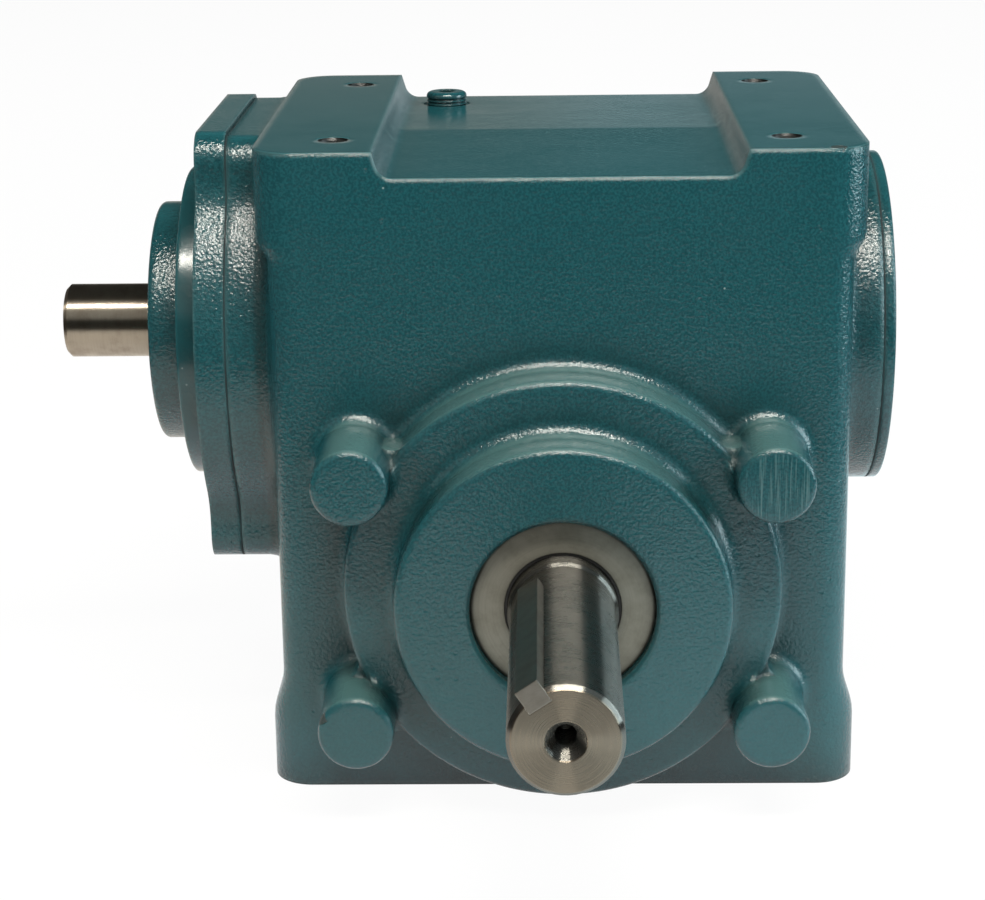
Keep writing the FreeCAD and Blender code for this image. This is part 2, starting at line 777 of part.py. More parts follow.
def output_shaft():
    front_cone_in = front_cup_y + bearing_width + end_play
    rear_cone_in = rear_cup_y - bearing_width - end_play
    hub_half = wheel_hub_width / 2
    journal_y = hub_face_y - output_journal_reach
    blank = turned([(tip_y, 0), (tip_y, output_r - shaft_chamfer), (tip_y + shaft_chamfer, output_r),
                    (journal_y - shaft_chamfer, output_r), (journal_y, output_journal_r),
                    (front_cup_y, output_journal_r), (front_cup_y, output_bearing_bore_r),
                    (front_cone_in, output_bearing_bore_r), (front_cone_in, output_collar_r),
                    (-hub_half, output_collar_r), (-hub_half, wheel_seat_r), (rear_cone_in, wheel_seat_r),
                    (rear_cone_in, output_bearing_bore_r), (rear_cup_y, output_bearing_bore_r, shaft_tail_r),
                    (rear_cup_y, 0)])
    drill_end = tip_y + center_drill_depth
    center = turned([(tip_y, 0), (tip_y, center_hole_r),
                     (tip_y + (center_hole_r - center_drill_r) * math.sqrt(3), center_drill_r),
                     (drill_end, center_drill_r), (drill_end + center_drill_tip, 0)])
    shaft = on_output_axis(blank.cut(center))
    keyway = key_bar(output_key_size, output_keyway_floor, tip_y, output_key_length, output_key_angle)
    return shaft.cut([on_output_axis(keyway), wheel_key()])


def key_bar(size, floor, start, length, angle):
    """Square key along X with its under side at a height above the axis, turned about X."""
    bar = Part.makeBox(length, size, size, Vector(start, -size / 2, floor))
    bar.rotate(ORIGIN, X, angle)
    return bar


def output_key():
    bar = key_bar(output_key_size, output_keyway_floor, tip_y, output_key_length, output_key_angle)
    return on_output_axis(bar)


def wheel_key():
    floor = wheel_seat_r - wheel_key_size / 2
    return on_output_axis(key_bar(wheel_key_size, floor, -wheel_key_length / 2, wheel_key_length, 180))


def wheel_hub():
    h = wheel_hub_width / 2
    web = wheel_web / 2
    rim = rim_width / 2
    band_r = rim_seat_r - hub_band
    blank = turned([(-h, wheel_seat_r), (h, wheel_seat_r), (h, wheel_hub_r),
                    (web, wheel_hub_r, wheel_fillet_r), (web, band_r, wheel_fillet_r), (rim, band_r),
                    (rim, rim_seat_r), (-rim, rim_seat_r), (-rim, band_r), (-web, band_r, wheel_fillet_r),
                    (-web, wheel_hub_r, wheel_fillet_r), (-h, wheel_hub_r)])
    slot = key_bar(wheel_key_size, wheel_seat_r - wheel_key_size / 2, -h, wheel_hub_width, 180)
    return on_output_axis(blank.cut(slot))


def wheel_spacer():
    rear_cone_in = rear_cup_y - bearing_width - end_play
    return on_output_axis(tube(wheel_hub_width / 2, rear_cone_in, wheel_seat_r, wheel_seat_r + spacer_wall))


def involute_flank(base_r, radius):
    """Angle of the involute of base_r where it reaches a radius."""
    roll = math.sqrt(max((radius / base_r) ** 2 - 1, 0))
    return roll - math.atan(roll)


def tooth_wire(shift):
    """Outline of all the wheel teeth in the plane across the wheel's axis, turned by shift radians."""
    base_r = wheel_pitch_r * math.cos(math.radians(pressure_angle))
    root_r = wheel_pitch_r - root_factor * module
    tip_r = wheel_pitch_r + rim_tip_factor * module
    pitch_angle = 2 * math.pi / wheel_teeth
    half_tooth = (axial_pitch / 2 - backlash / 2) / (2 * wheel_pitch_r)
    at_pitch = involute_flank(base_r, wheel_pitch_r)
    radii = [root_r] + [base_r + (tip_r - base_r) * k / 3 for k in range(4)]

    def point(radius, angle):
        return Vector(radius * math.sin(angle), 0, radius * math.cos(angle))

    edges = []
    for tooth in range(wheel_teeth):
        center = shift + pitch_angle * (tooth + 0.5)
        rising = []
        falling = []
        for radius in radii:
            half = half_tooth + at_pitch - involute_flank(base_r, max(radius, base_r))
            rising.append(point(radius, center - half))
            falling.insert(0, point(radius, center + half))
        land_half = half_tooth + at_pitch
        next_root = point(root_r, center + pitch_angle - land_half)
        edges.append(Part.makeLine(rising[0], rising[1]))
        up = Part.BSplineCurve()
        up.interpolate(rising[1:])
        edges.append(up.toShape())
        edges.append(Part.Arc(rising[-1], point(tip_r, center), falling[0]).toShape())
        down = Part.BSplineCurve()
        down.interpolate(falling[:-1])
        edges.append(down.toShape())
        edges.append(Part.makeLine(falling[-2], falling[-1]))
        edges.append(Part.Arc(falling[-1], point(root_r, center + pitch_angle / 2), next_root).toShape())
    return Part.Wire(edges)


def wheel_rim():
    """Bronze rim: helical teeth at the worm's lead angle, throated to wrap the worm."""
    half = rim_width / 2
    turn = half * math.tan(lead_angle) / wheel_pitch_r
    near = tooth_wire(-turn).translated(Vector(0, -half, 0))
    far = tooth_wire(turn).translated(Vector(0, half, 0))
    blank = Part.makeLoft([near, far], True, True)
    throat_r = center_distance - wheel_pitch_r - module
    throat = Part.makeTorus(center_distance, throat_r, ORIGIN, Y)
    bore = Part.makeCylinder(rim_seat_r, rim_width, Vector(0, -half, 0), Y)
    return blank.cut([throat, bore]).translated(Vector(0, 0, axis_height))


# Worm shaft

def worm_section():
    """Worm cut square to its axis: one start shows as a crest arc, a root arc and two spiral flanks."""
    root_r = worm_pitch_r - root_factor * module
    crest_r = worm_pitch_r + module
    slope = math.tan(math.radians(pressure_angle))

    def half_angle(radius):
        half_thread = (axial_pitch - backlash) / 4 - (radius - worm_pitch_r) * slope
        return 2 * math.pi * half_thread / axial_pitch

    def point(radius, angle):
        return Vector(radius * math.cos(angle), radius * math.sin(angle), 0)

    radii = [root_r + (crest_r - root_r) * k / 4 for k in range(5)]
    rising = Part.BSplineCurve()
    rising.interpolate([point(r, half_angle(r)) for r in radii])
    falling = Part.BSplineCurve()
    falling.interpolate([point(r, -half_angle(r)) for r in reversed(radii)])
    at_root = half_angle(root_r)
    at_crest = half_angle(crest_r)
    root = Part.Arc(point(root_r, -at_root), point(root_r, math.pi), point(root_r, at_root))
    crest = Part.Arc(point(crest_r, at_crest), point(crest_r, 0), point(crest_r, -at_crest))
    return Part.Wire([root.toShape(), rising.toShape(), crest.toShape(), falling.toShape()])


def worm_thread():
    """The section carried along a helix, set so that a crest faces the wheel at x = 0, with bevelled ends."""
    root_r = worm_pitch_r - root_factor * module
    crest_r = worm_pitch_r + module
    half = worm_length / 2
    helix = Part.Wire(Part.makeHelix(axial_pitch, worm_length, worm_pitch_r))
    swept = helix.makePipeShell([worm_section()], True, True)
    thread = Part.Solid(Part.Shell(swept.Faces))
    thread.rotate(ORIGIN, Z, -360 * half / axial_pitch)
    thread = thread.translated(Z * -half)
    thread.rotate(ORIGIN, Y, 90)
    bevel = crest_r - root_r
    low_r = root_r + thread_trim
    high_r = crest_r + thread_trim
    sleeve = turned([(-half, 0), (-half, low_r), (-half + bevel, high_r),
                     (half - bevel, high_r), (half, low_r), (half, 0)])
    return thread.common(sleeve)


def worm_shaft():
    left_cone_in = left_cup_x + bearing_width + end_play
    right_cone_in = right_cup_x - bearing_width - end_play
    neck_r = worm_pitch_r - root_factor * module - worm_relief
    inside = worm_length / 2 - worm_core_overlap
    neck = worm_length / 2 + worm_neck_length
    journal_x = input_face_x - end_play
    tail_x = right_cup_x - worm_tail_gap
    drive_end = turned([(input_tip_x, 0), (input_tip_x, input_r - shaft_chamfer),
                        (input_tip_x + shaft_chamfer, input_r), (journal_x, input_r),
                        (journal_x, input_journal_r), (left_cup_x, input_journal_r),
                        (left_cup_x, worm_bearing_bore_r),
                        (left_cone_in, worm_bearing_bore_r), (left_cone_in, worm_collar_r),
                        (-neck, worm_collar_r, worm_collar_edge_r), (-neck, neck_r, worm_neck_fillet_r),
                        (-inside, neck_r), (-inside, 0)])
    free_end = turned([(inside, 0), (inside, neck_r), (neck, neck_r, worm_neck_fillet_r),
                       (neck, worm_collar_r, worm_collar_edge_r), (right_cone_in, worm_collar_r),
                       (right_cone_in, worm_bearing_bore_r), (tail_x, worm_bearing_bore_r, shaft_tail_r),
                       (tail_x, 0)])
    keyway = key_bar(input_key_size, input_keyway_floor, input_tip_x, input_key_length, input_key_angle)
    center = Part.makeCone(input_center_r, input_center_tip_r, input_center_depth,
                           Vector(input_tip_x, 0, 0), X)
    shaft = worm_thread().multiFuse([drive_end.cut([keyway, center]), free_end])
    return on_worm_axis(shaft.removeSplitter())


def input_key():
    bar = key_bar(input_key_size, input_keyway_floor, input_tip_x, input_key_length, input_key_angle)
    return on_worm_axis(bar)


# The whole assembly, node by node

def assembly():
    output_lip = seal_lip(output_seal_y, output_seal_r, output_seal_eye_r, output_journal_r)
    input_lip = seal_lip(input_seal_x, input_seal_r, input_seal_eye_r, input_journal_r)
    nodes = {
        "housing": housing(),
        "input_cover": input_cover(),
        "input_cover_gasket": input_cover_gasket(),
        "input_cover_screws": Part.makeCompound([cap_screw(y, z) for y, z in ear_places]),
        "end_cover": end_cover(),
        "end_cover_gasket": end_cover_gasket(),
        "end_cover_screws": Part.makeCompound([flat_screw(y, z) for y, z in end_screw_places]),
        "output_cover": output_cover(),
        "output_cover_gasket": output_cover_gasket(),
        "output_cover_bolts": Part.makeCompound([hex_bolt(x, z) for x, z in boss_places]),
        "fill_plug": pipe_plug(Vector(fill_plug_x, fill_plug_y, case_height - recess_depth), Z),
        "level_plug": pipe_plug(Vector(half_width, side_plug_y, level_plug_z), X),
        "drain_plug": pipe_plug(Vector(half_width, side_plug_y, drain_plug_z), X),
        "output_seal_case": on_output_axis(seal_case(output_seal_y, output_seal_r, output_seal_eye_r)),
        "output_seal_lip": on_output_axis(output_lip),
        "input_seal_case": on_worm_axis(seal_case(input_seal_x, input_seal_r, input_seal_eye_r)),
        "input_seal_lip": on_worm_axis(input_lip),
        "output_shaft": output_shaft(),
        "output_key": output_key(),
        "wheel_hub": wheel_hub(),
        "wheel_rim": wheel_rim(),
        "wheel_key": wheel_key(),
        "wheel_spacer": wheel_spacer(),
        "worm_shaft": worm_shaft(),
        "input_key": input_key(),
    }
    output_bearing = roller_bearing(output_bearing_bore_r, output_bearing_r, output_roller_r)
    worm_bearing = roller_bearing(worm_bearing_bore_r, worm_bearing_r, worm_roller_r)
    for piece, shape in output_bearing.items():
        nodes["output_front_" + piece] = on_output_axis(shape.translated(X * front_cup_y))
        nodes["output_rear_" + piece] = on_output_axis(turned_about(shape).translated(X * rear_cup_y))
    for piece, shape in worm_bearing.items():
        nodes["worm_input_" + piece] = on_worm_axis(shape.translated(X * left_cup_x))
        nodes["worm_end_" + piece] = on_worm_axis(turned_about(shape).translated(X * right_cup_x))
    return nodes


os.makedirs("parts", exist_ok=True)
for name, shape in assembly().items():
    shape.exportStep("parts/" + name + ".step")
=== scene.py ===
# %% [markdown]
# # A right angle worm gear reducer, dressed for its portrait
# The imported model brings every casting, shaft, bearing and screw in its true place and size. This lesson
# gives each of them a finish, adds the screw threads that the solids leave out, and sets up a small studio
# with the camera of the photograph. The CAD pieces keep their shape: only their materials change.

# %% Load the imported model
import json
import math

import bmesh
import bpy
from mathutils import Matrix, Vector


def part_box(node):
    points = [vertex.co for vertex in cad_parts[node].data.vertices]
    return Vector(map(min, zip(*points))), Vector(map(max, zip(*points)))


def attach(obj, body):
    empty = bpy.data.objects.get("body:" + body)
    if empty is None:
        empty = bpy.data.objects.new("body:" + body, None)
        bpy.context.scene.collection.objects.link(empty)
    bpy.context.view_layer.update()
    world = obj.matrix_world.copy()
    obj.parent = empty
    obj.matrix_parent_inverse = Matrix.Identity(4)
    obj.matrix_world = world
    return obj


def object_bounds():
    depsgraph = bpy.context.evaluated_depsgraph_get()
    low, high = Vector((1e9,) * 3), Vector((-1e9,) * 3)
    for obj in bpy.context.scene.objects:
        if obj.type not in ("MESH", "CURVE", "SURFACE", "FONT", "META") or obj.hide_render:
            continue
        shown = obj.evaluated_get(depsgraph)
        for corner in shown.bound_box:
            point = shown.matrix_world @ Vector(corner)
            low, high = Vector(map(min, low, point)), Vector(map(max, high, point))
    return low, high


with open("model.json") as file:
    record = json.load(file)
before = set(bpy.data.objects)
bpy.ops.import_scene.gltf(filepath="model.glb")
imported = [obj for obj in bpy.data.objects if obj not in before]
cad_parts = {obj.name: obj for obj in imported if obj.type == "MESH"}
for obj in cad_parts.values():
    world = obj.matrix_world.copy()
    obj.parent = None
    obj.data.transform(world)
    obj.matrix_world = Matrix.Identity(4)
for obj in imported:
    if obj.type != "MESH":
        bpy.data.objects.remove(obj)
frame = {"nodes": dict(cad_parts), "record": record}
nodes = frame["nodes"]
cad_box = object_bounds()
print("nodes", len(nodes), "box", [[round(v, 4) for v in corner] for corner in cad_box])

# %% [markdown]
# ## Small helpers for node trees
# A material is a tree of nodes. Adding a node, setting its values and linking its inputs is the same few
# lines each time, so one helper does all three: a socket given as a value becomes a link, anything else
# becomes the input's own number or colour. The rest are short names for the nodes that come up most.

# %% Node helpers
def feed(tree, socket, value):
    """Links a value into an input where it is a socket, and sets it otherwise."""
    if isinstance(value, bpy.types.NodeSocket):
        tree.links.new(value, socket)
    else:
        socket.default_value = value


def place(tree, kind, inputs=None, **settings):
    """Adds one node to a tree, with its settings, its plain values and its links."""
    made = tree.nodes.new(kind)
    for name, value in settings.items():
        setattr(made, name, value)
    for name, value in (inputs or {}).items():
        feed(tree, made.inputs[name], value)
    return made


def calc(tree, operation, first, second=0.0, third=0.0, clamp=False):
    """One step of arithmetic, as a socket."""
    values = {0: first, 1: second, 2: third}
    return place(tree, "ShaderNodeMath", values, operation=operation, use_clamp=clamp).outputs[0]


def times(tree, first, second):
    """The product of two values, as a socket."""
    return calc(tree, "MULTIPLY", first, second)


def pick(tree, share, first, second):
    """Mixes two plain values, as a socket."""
    return place(tree, "ShaderNodeMix", {0: share, 2: first, 3: second}, data_type="FLOAT").outputs[0]


def blend(tree, share, first, second):
    """Mixes two colours, as a socket."""
    return place(tree, "ShaderNodeMix", {0: share, 6: first, 7: second}, data_type="RGBA").outputs[2]


def ramp(tree, value, low, high, to_low=0.0, to_high=1.0):
    """Smooth step of a value from one level to another, as a socket."""
    inputs = {"Value": value, "From Min": low, "From Max": high, "To Min": to_low, "To Max": to_high}
    return place(tree, "ShaderNodeMapRange", inputs, interpolation_type="SMOOTHSTEP").outputs[0]


def own_point(tree):
    """The point in the piece's own coordinates, as a socket."""
    return place(tree, "ShaderNodeTexCoord").outputs["Object"]


def along(tree, axis):
    """One of the piece's own coordinates, as a socket."""
    return place(tree, "ShaderNodeSeparateXYZ", {"Vector": own_point(tree)}).outputs[axis]


def noise(tree, vector, scale, detail=2.0, roughness=0.5):
    """Fractal noise between 0 and 1, as a socket. The scale is in waves per metre."""
    inputs = {"Vector": vector, "Scale": scale, "Detail": detail, "Roughness": roughness}
    return place(tree, "ShaderNodeTexNoise", inputs).outputs["Fac"]


print("helpers ready")

# %% [markdown]
# ## Shared effects as node groups
# Several finishes need the same effects, so each effect is a node group with named inputs and outputs. The
# first helper below opens a group and gives back the sockets at its two ends. The second places a finished
# group in a material.

# %% Opening and using node groups
def open_group(name, inputs, outputs):
    """An empty shader node group, the values it is given and the sockets it puts out."""
    group = bpy.data.node_groups.new(name, "ShaderNodeTree")
    for label, value in inputs.items():
        socket = group.interface.new_socket(label, in_out="INPUT", socket_type="NodeSocketFloat")
        socket.default_value = value
    for label, kind in outputs.items():
        group.interface.new_socket(label, in_out="OUTPUT", socket_type="NodeSocket" + kind)
    return group, group.nodes.new("NodeGroupInput").outputs, group.nodes.new("NodeGroupOutput").inputs


def use_group(tree, group, **values):
    """Places a finished group in a material with its own values, and gives back its outputs."""
    inputs = {name.replace("_", " "): value for name, value in values.items()}
    return place(tree, "ShaderNodeGroup", inputs, node_tree=group).outputs


print("groups can be made")

# %% [markdown]
# ### The skin of a sand casting under gloss paint
# Iron poured into sand comes out pebbled, and the paint rounds the pebbles into orange peel. Displacing the
# mesh would need millions of faces, so a bump height does it: grains of under a millimetre, finer ones on
# top, slow waves below, and a few pits where sand stuck. The group also gives a tone, because paint lies
# thicker between the grains and is darker there.

# %% Cast skin
GRAINS, FINE_GRAINS, SPECKLES = 1100.0, 2800.0, 1400.0
SLOW_WAVES, SAND_CELLS, PIT_ZONES = 85.0, 210.0, 45.0
FINE_SHARE, WAVE_SHARE, PIT_SHARE, SPECKLE_SHARE = 0.15, 0.6, -0.6, 0.7


def make_cast_skin():
    group, given, out = open_group("cast skin", {"Grain": 1.0}, {"Height": "Float", "Tone": "Float"})
    point = own_point(group)
    grains = noise(group, point, GRAINS)
    fine = noise(group, point, FINE_GRAINS, 1.0)
    waves = noise(group, point, SLOW_WAVES)
    cells = place(group, "ShaderNodeTexVoronoi", {"Vector": point, "Scale": SAND_CELLS, "Randomness": 1.0})
    pit = ramp(group, cells.outputs["Distance"], 0.05, 0.16, 1.0, 0.0)
    rare = ramp(group, noise(group, point, PIT_ZONES, 1.0), 0.58, 0.66)
    grit = times(group, calc(group, "MULTIPLY_ADD", fine, FINE_SHARE, grains), given["Grain"])
    height = calc(group, "MULTIPLY_ADD", waves, WAVE_SHARE, grit)
    height = calc(group, "MULTIPLY_ADD", times(group, pit, rare), PIT_SHARE, height)
    speckle = noise(group, point, SPECKLES, 1.5)
    tone = calc(group, "MULTIPLY_ADD", speckle, SPECKLE_SHARE, times(group, grains, 1.0 - SPECKLE_SHARE))
    group.links.new(height, out["Height"])
    group.links.new(ramp(group, tone, 0.40, 0.60), out["Tone"])
    return group


cast_skin = make_cast_skin()
print("cast skin has", len(cast_skin.nodes), "nodes")

# %% [markdown]
# ### Broken edges
# No machined or cast edge is razor sharp. The Bevel node rounds the shading of an edge without touching the
# mesh, and how far that rounded normal leans from the true one is a ready-made mask for worn or thin paint,
# and for a painted highlight along the edge.

# %% Broken edges
RAY_SAMPLES = 6


def make_broken_edges():
    gives = {"Normal": "Vector", "Edge": "Float"}
    group, given, out = open_group("broken edges", {"Radius": 0.0008}, gives)
    bevel = place(group, "ShaderNodeBevel", {"Radius": given["Radius"]}, samples=RAY_SAMPLES)
    rounded = bevel.outputs["Normal"]
    true = place(group, "ShaderNodeNewGeometry").outputs["Normal"]
    lean = place(group, "ShaderNodeVectorMath", {0: rounded, 1: true}, operation="DOT_PRODUCT")
    group.links.new(rounded, out["Normal"])
    group.links.new(ramp(group, lean.outputs["Value"], 0.995, 0.80, 0.0, 1.0), out["Edge"])
    return group


broken_edges = make_broken_edges()
print("broken edges made")

# %% [markdown]
# ### Shop dust and painted shade in the corners
# Ambient Occlusion finds the corners where shade falls and where dust and old grease gather, since air
# and rags don't reach them, and darkens them: painted shade together with dust. Noise breaks the line up so
# it doesn't look sprayed on.

# %% Corner dust and painted shade
SHADE_AND_DUST_PATCHES = 130.0


def make_corner_shade_and_dust():
    group, given, out = open_group("corner shade and dust", {"Reach": 0.016, "Amount": 1.0}, {"Shade And Dust": "Float"})
    hidden = place(group, "ShaderNodeAmbientOcclusion", {"Distance": given["Reach"]}, samples=RAY_SAMPLES)
    # Painted shade: the mask darkens corners found by Ambient Occlusion, as shade and as dust.
    corner = ramp(group, hidden.outputs["AO"], 0.30, 0.95, 1.0, 0.0)
    patchy = ramp(group, noise(group, own_point(group), SHADE_AND_DUST_PATCHES, 3.0), 0.30, 0.70, 0.60, 1.0)
    dust = calc(group, "MULTIPLY", times(group, corner, patchy), given["Amount"], clamp=True)
    group.links.new(dust, out["Shade And Dust"])
    return group


corner_shade_and_dust = make_corner_shade_and_dust()
print("corner shade and dust made")

# %% [markdown]
# ### Tool marks of a lathe
# A turned shaft carries fine rings: around the bar on its sides, and circles on its end face. Both come from
# one pattern if the noise reads only the distance along the axis and the distance from it. A trace of the
# angle keeps the rings from being perfect. The smear is the film of oil that hands leave.

# %% Lathe marks
ANGLE_TRACE, OIL_SMEARS = 0.0004, 130.0


def make_lathe_marks():
    wants = {"Axis X": 0.0, "Axis Z": 0.0, "Lines": 2600.0}
    group, given, out = open_group("lathe marks", wants, {"Rings": "Float", "Smear": "Float"})
    point = own_point(group)
    split = place(group, "ShaderNodeSeparateXYZ", {"Vector": point}).outputs
    rise = calc(group, "SUBTRACT", split["Z"], given["Axis Z"])
    aside = pick(group, given["Axis X"], split["X"], split["Y"])
    run = pick(group, given["Axis X"], split["Y"], split["X"])
    square = calc(group, "MULTIPLY_ADD", aside, aside, times(group, rise, rise))
    radius = calc(group, "SQRT", square)
    turn = times(group, calc(group, "ARCTAN2", aside, rise), ANGLE_TRACE)
    ring_point = place(group, "ShaderNodeCombineXYZ", {"X": run, "Y": radius, "Z": turn}).outputs[0]
    group.links.new(noise(group, ring_point, given["Lines"], 3.0, 0.6), out["Rings"])
    group.links.new(noise(group, point, OIL_SMEARS, 5.0, 0.65), out["Smear"])
    return group


lathe_marks = make_lathe_marks()
print("lathe marks made")

# %% [markdown]
# ## Masks for places on a piece
# Faces that were milled before painting keep only a faint peel, some places carry marks, and the flanges at
# the sides came out of rougher sand than the front. Each of these needs a mask, and all of them come from
# the piece's own coordinates or from the way a face looks.

# %% Masks
def near_plane(tree, axis, level, reach=0.0003):
    """Mask of the faces that lie on one plane of the piece's own coordinates."""
    away = calc(tree, "ABSOLUTE", calc(tree, "SUBTRACT", along(tree, axis), level))
    return calc(tree, "LESS_THAN", away, reach)


def between(tree, axis, low, high):
    """Mask of what lies between two levels along an axis."""
    return near_plane(tree, axis, (low + high) / 2, (high - low) / 2)


def soft_band(tree, axis, low, high, soft):
    """Mask of what lies between two levels along an axis, fading at both."""
    value = along(tree, axis)
    return times(tree, ramp(tree, value, low - soft, low + soft),
                 ramp(tree, value, high - soft, high + soft, 1.0, 0.0))


def beyond(tree, axis, level, soft=0.003):
    """Mask of what lies further out than a level on either side of the middle."""
    return ramp(tree, calc(tree, "ABSOLUTE", along(tree, axis)), level - soft, level + soft)


def near_point(tree, spot, radius, soft, ragged=0.0):
    """Mask of a ball around a spot, fading over the soft width. The ragged length makes its edge uneven."""
    away = place(tree, "ShaderNodeVectorMath", {0: own_point(tree), 1: spot}, operation="DISTANCE")
    reached = calc(tree, "SUBTRACT", away.outputs["Value"], ragged)
    return ramp(tree, reached, radius - soft, radius, 1.0, 0.0)


def facing_up(tree, start, most):
    """Mask of faces that look up, from a start of the normal's rise to the most where it is upright."""
    normal = place(tree, "ShaderNodeNewGeometry").outputs["True Normal"]
    rise = place(tree, "ShaderNodeSeparateXYZ", {"Vector": normal}).outputs["Z"]
    return ramp(tree, rise, start, 0.97, 0.0, most)


def largest(tree, masks):
    """The largest of several masks, or nothing where there are none."""
    whole = 0.0
    for mask in masks:
        whole = calc(tree, "MAXIMUM", whole, mask)
    return whole


print("masks ready")

# %% [markdown]
# ### Places on the case
# The walls, faces and holes that the masks refer to, in the coordinates of the case, and the colours of the
# paint. Light teal is where the enamel runs thin over an edge, and is also a painted highlight there; deep
# teal is where it lies thick. Some colours are painted light and shade: a lighter teal on faces that look
# up, a pale sheen on the front ledges, and dark shade in corners, in the cove, in a dip and in the tapped
# holes.

# %% Places and colours
TOP_FACE, BASE_FACE = 0.18415, 0.0
SIDE_WALL, FRONT_WALL, BOSS_FACE = 0.0805, -0.0757, -0.1057
HOLE_RADIUS, HOLE_SPACING_X, HOLE_SPACING_Y = 0.0042, 0.1254, 0.10795
GROUND_BOSS, GROUND_RADIUS = (0.05715, BOSS_FACE, 0.0988), 0.0098
CHIPPED_BOSS, CHIP_RADIUS = (-0.0664, BOSS_FACE + 0.001, 0.0328), 0.0010
PAD_DIP, DIP_RADIUS = (0.0748, -0.0731, TOP_FACE), 0.0018
COVE_X, COVE_Z = (-0.0858, -0.0818), (0.055, 0.160)

TEAL = (0.0080, 0.0610, 0.0715, 1.0)
TEAL_DEEP = (0.0046, 0.0345, 0.0425, 1.0)
# Thin paint on edges and grinder strokes, also a painted highlight on edges.
TEAL_THIN_AND_SHEEN = (0.085, 0.165, 0.170, 1.0)
TEAL_PALE = (0.0100, 0.0670, 0.0770, 1.0)
# Painted light: a lighter teal for faces that look up.
TEAL_LIT_TOP = (0.0108, 0.0735, 0.0855, 1.0)
# Dust colour, also used as painted shade in corners and in the cove.
SHADE_AND_DUST = (0.0065, 0.0180, 0.0185, 1.0)
FLECK = (0.26, 0.33, 0.33, 1.0)
# Painted sheen: a pale colour for the ledges of the front ring and bosses.
LEDGE_SHEEN = (0.070, 0.140, 0.136, 1.0)
# Painted shade: a near-black colour for the walls of the tapped holes.
HOLE_SHADE = (0.006, 0.007, 0.007, 1.0)
# Primer where paint is chipped, also used as painted shade in the dip.
PRIMER_AND_DIP_SHADE = (0.016, 0.030, 0.030, 1.0)
print("holes in the feet have a radius of", HOLE_RADIUS)

# %% [markdown]
# ### Marks of use and painted shade on the case
# The case carries a few marks of its own: the face of the upper right boss was dressed on a grinder, which
# left upright strokes, and a chip of paint is gone from the lower left boss. The front edge of the right pad
# has a small dip in the casting, which is coloured dark as painted shade. The cove beside the input flange
# is darkened as painted shade, and so are the walls of the tapped holes.

# %% Case marks
STROKES, STROKE_SCALE, STROKE_SHARE, SKIN_LOST = 1500.0, (1.0, 0.0, 0.03), 0.55, -0.85
COVE_SHADE_SHARE, COVE_FADE_X, COVE_FADE_Z = 0.65, 0.0012, 0.010
FACE_FADE, CHIP_FADE, DIP_FADE = 0.0012, 0.0004, 0.0006
RAGGED_WAVES, RAGGED_LENGTH, HOLE_MARGIN, GONE_DULL = 900.0, 0.0016, 0.00003, 0.4


def in_tapped_holes(tree):
    """Mask of the walls of the eight tapped holes: folding the coordinates turns them into one."""
    folded = place(tree, "ShaderNodeVectorMath", {0: own_point(tree)}, operation="ABSOLUTE").outputs[0]
    split = place(tree, "ShaderNodeSeparateXYZ", {"Vector": folded}).outputs
    flat = place(tree, "ShaderNodeCombineXYZ", {"X": split["X"], "Y": split["Y"]}).outputs[0]
    hole = (HOLE_SPACING_X / 2, HOLE_SPACING_Y / 2, 0.0)
    away = place(tree, "ShaderNodeVectorMath", {0: flat, 1: hole}, operation="DISTANCE").outputs["Value"]
    return calc(tree, "LESS_THAN", away, HOLE_RADIUS + HOLE_MARGIN)


def add_strokes(tree, colour, height):
    """Upright strokes of a grinder on the face of one boss, instead of its cast skin."""
    round_spot = near_point(tree, GROUND_BOSS, GROUND_RADIUS, FACE_FADE)
    face = times(tree, round_spot, near_plane(tree, "Y", BOSS_FACE))
    drawn = place(tree, "ShaderNodeMapping", {"Vector": own_point(tree), "Scale": STROKE_SCALE})
    strokes = noise(tree, drawn.outputs[0], STROKES, 3.0, 0.7)
    height = times(tree, height, calc(tree, "MULTIPLY_ADD", face, SKIN_LOST, 1.0))
    height = calc(tree, "MULTIPLY_ADD", times(tree, face, strokes), STROKE_SHARE, height)
    worn = times(tree, face, ramp(tree, strokes, 0.48, 0.70, 0.0, 0.6))
    return blend(tree, worn, colour, TEAL_THIN_AND_SHEEN), height


def add_case_marks(tree, colour, height, roughness):
    """Adds marks of use and painted shade in the cove, dip and holes to the case's colour, height and
    roughness.
    """
    colour, height = add_strokes(tree, colour, height)
    # Painted shade: the cove beside the input flange is darkened.
    cove_shade = soft_band(tree, "X", *COVE_X, COVE_FADE_X)
    cove_shade = times(tree, cove_shade, soft_band(tree, "Z", *COVE_Z, COVE_FADE_Z))
    colour = blend(tree, times(tree, cove_shade, COVE_SHADE_SHARE), colour, SHADE_AND_DUST)
    ragged = times(tree, noise(tree, own_point(tree), RAGGED_WAVES), RAGGED_LENGTH)
    chip = near_point(tree, CHIPPED_BOSS, CHIP_RADIUS, CHIP_FADE, ragged)
    # Painted shade: the dip in the right pad is coloured dark, as its hollow is in shade.
    dip_shade = near_point(tree, PAD_DIP, DIP_RADIUS, DIP_FADE, ragged)
    chip_and_dip_shade = calc(tree, "MAXIMUM", chip, dip_shade)
    colour = blend(tree, chip_and_dip_shade, colour, PRIMER_AND_DIP_SHADE)
    # Painted shade: the walls of the tapped holes are coloured near-black.
    colour = blend(tree, in_tapped_holes(tree), colour, HOLE_SHADE)
    height = calc(tree, "MULTIPLY_ADD", chip_and_dip_shade, -1.0, height)
    return colour, height, calc(tree, "MULTIPLY_ADD", chip_and_dip_shade, GONE_DULL, roughness)


print("case marks ready")

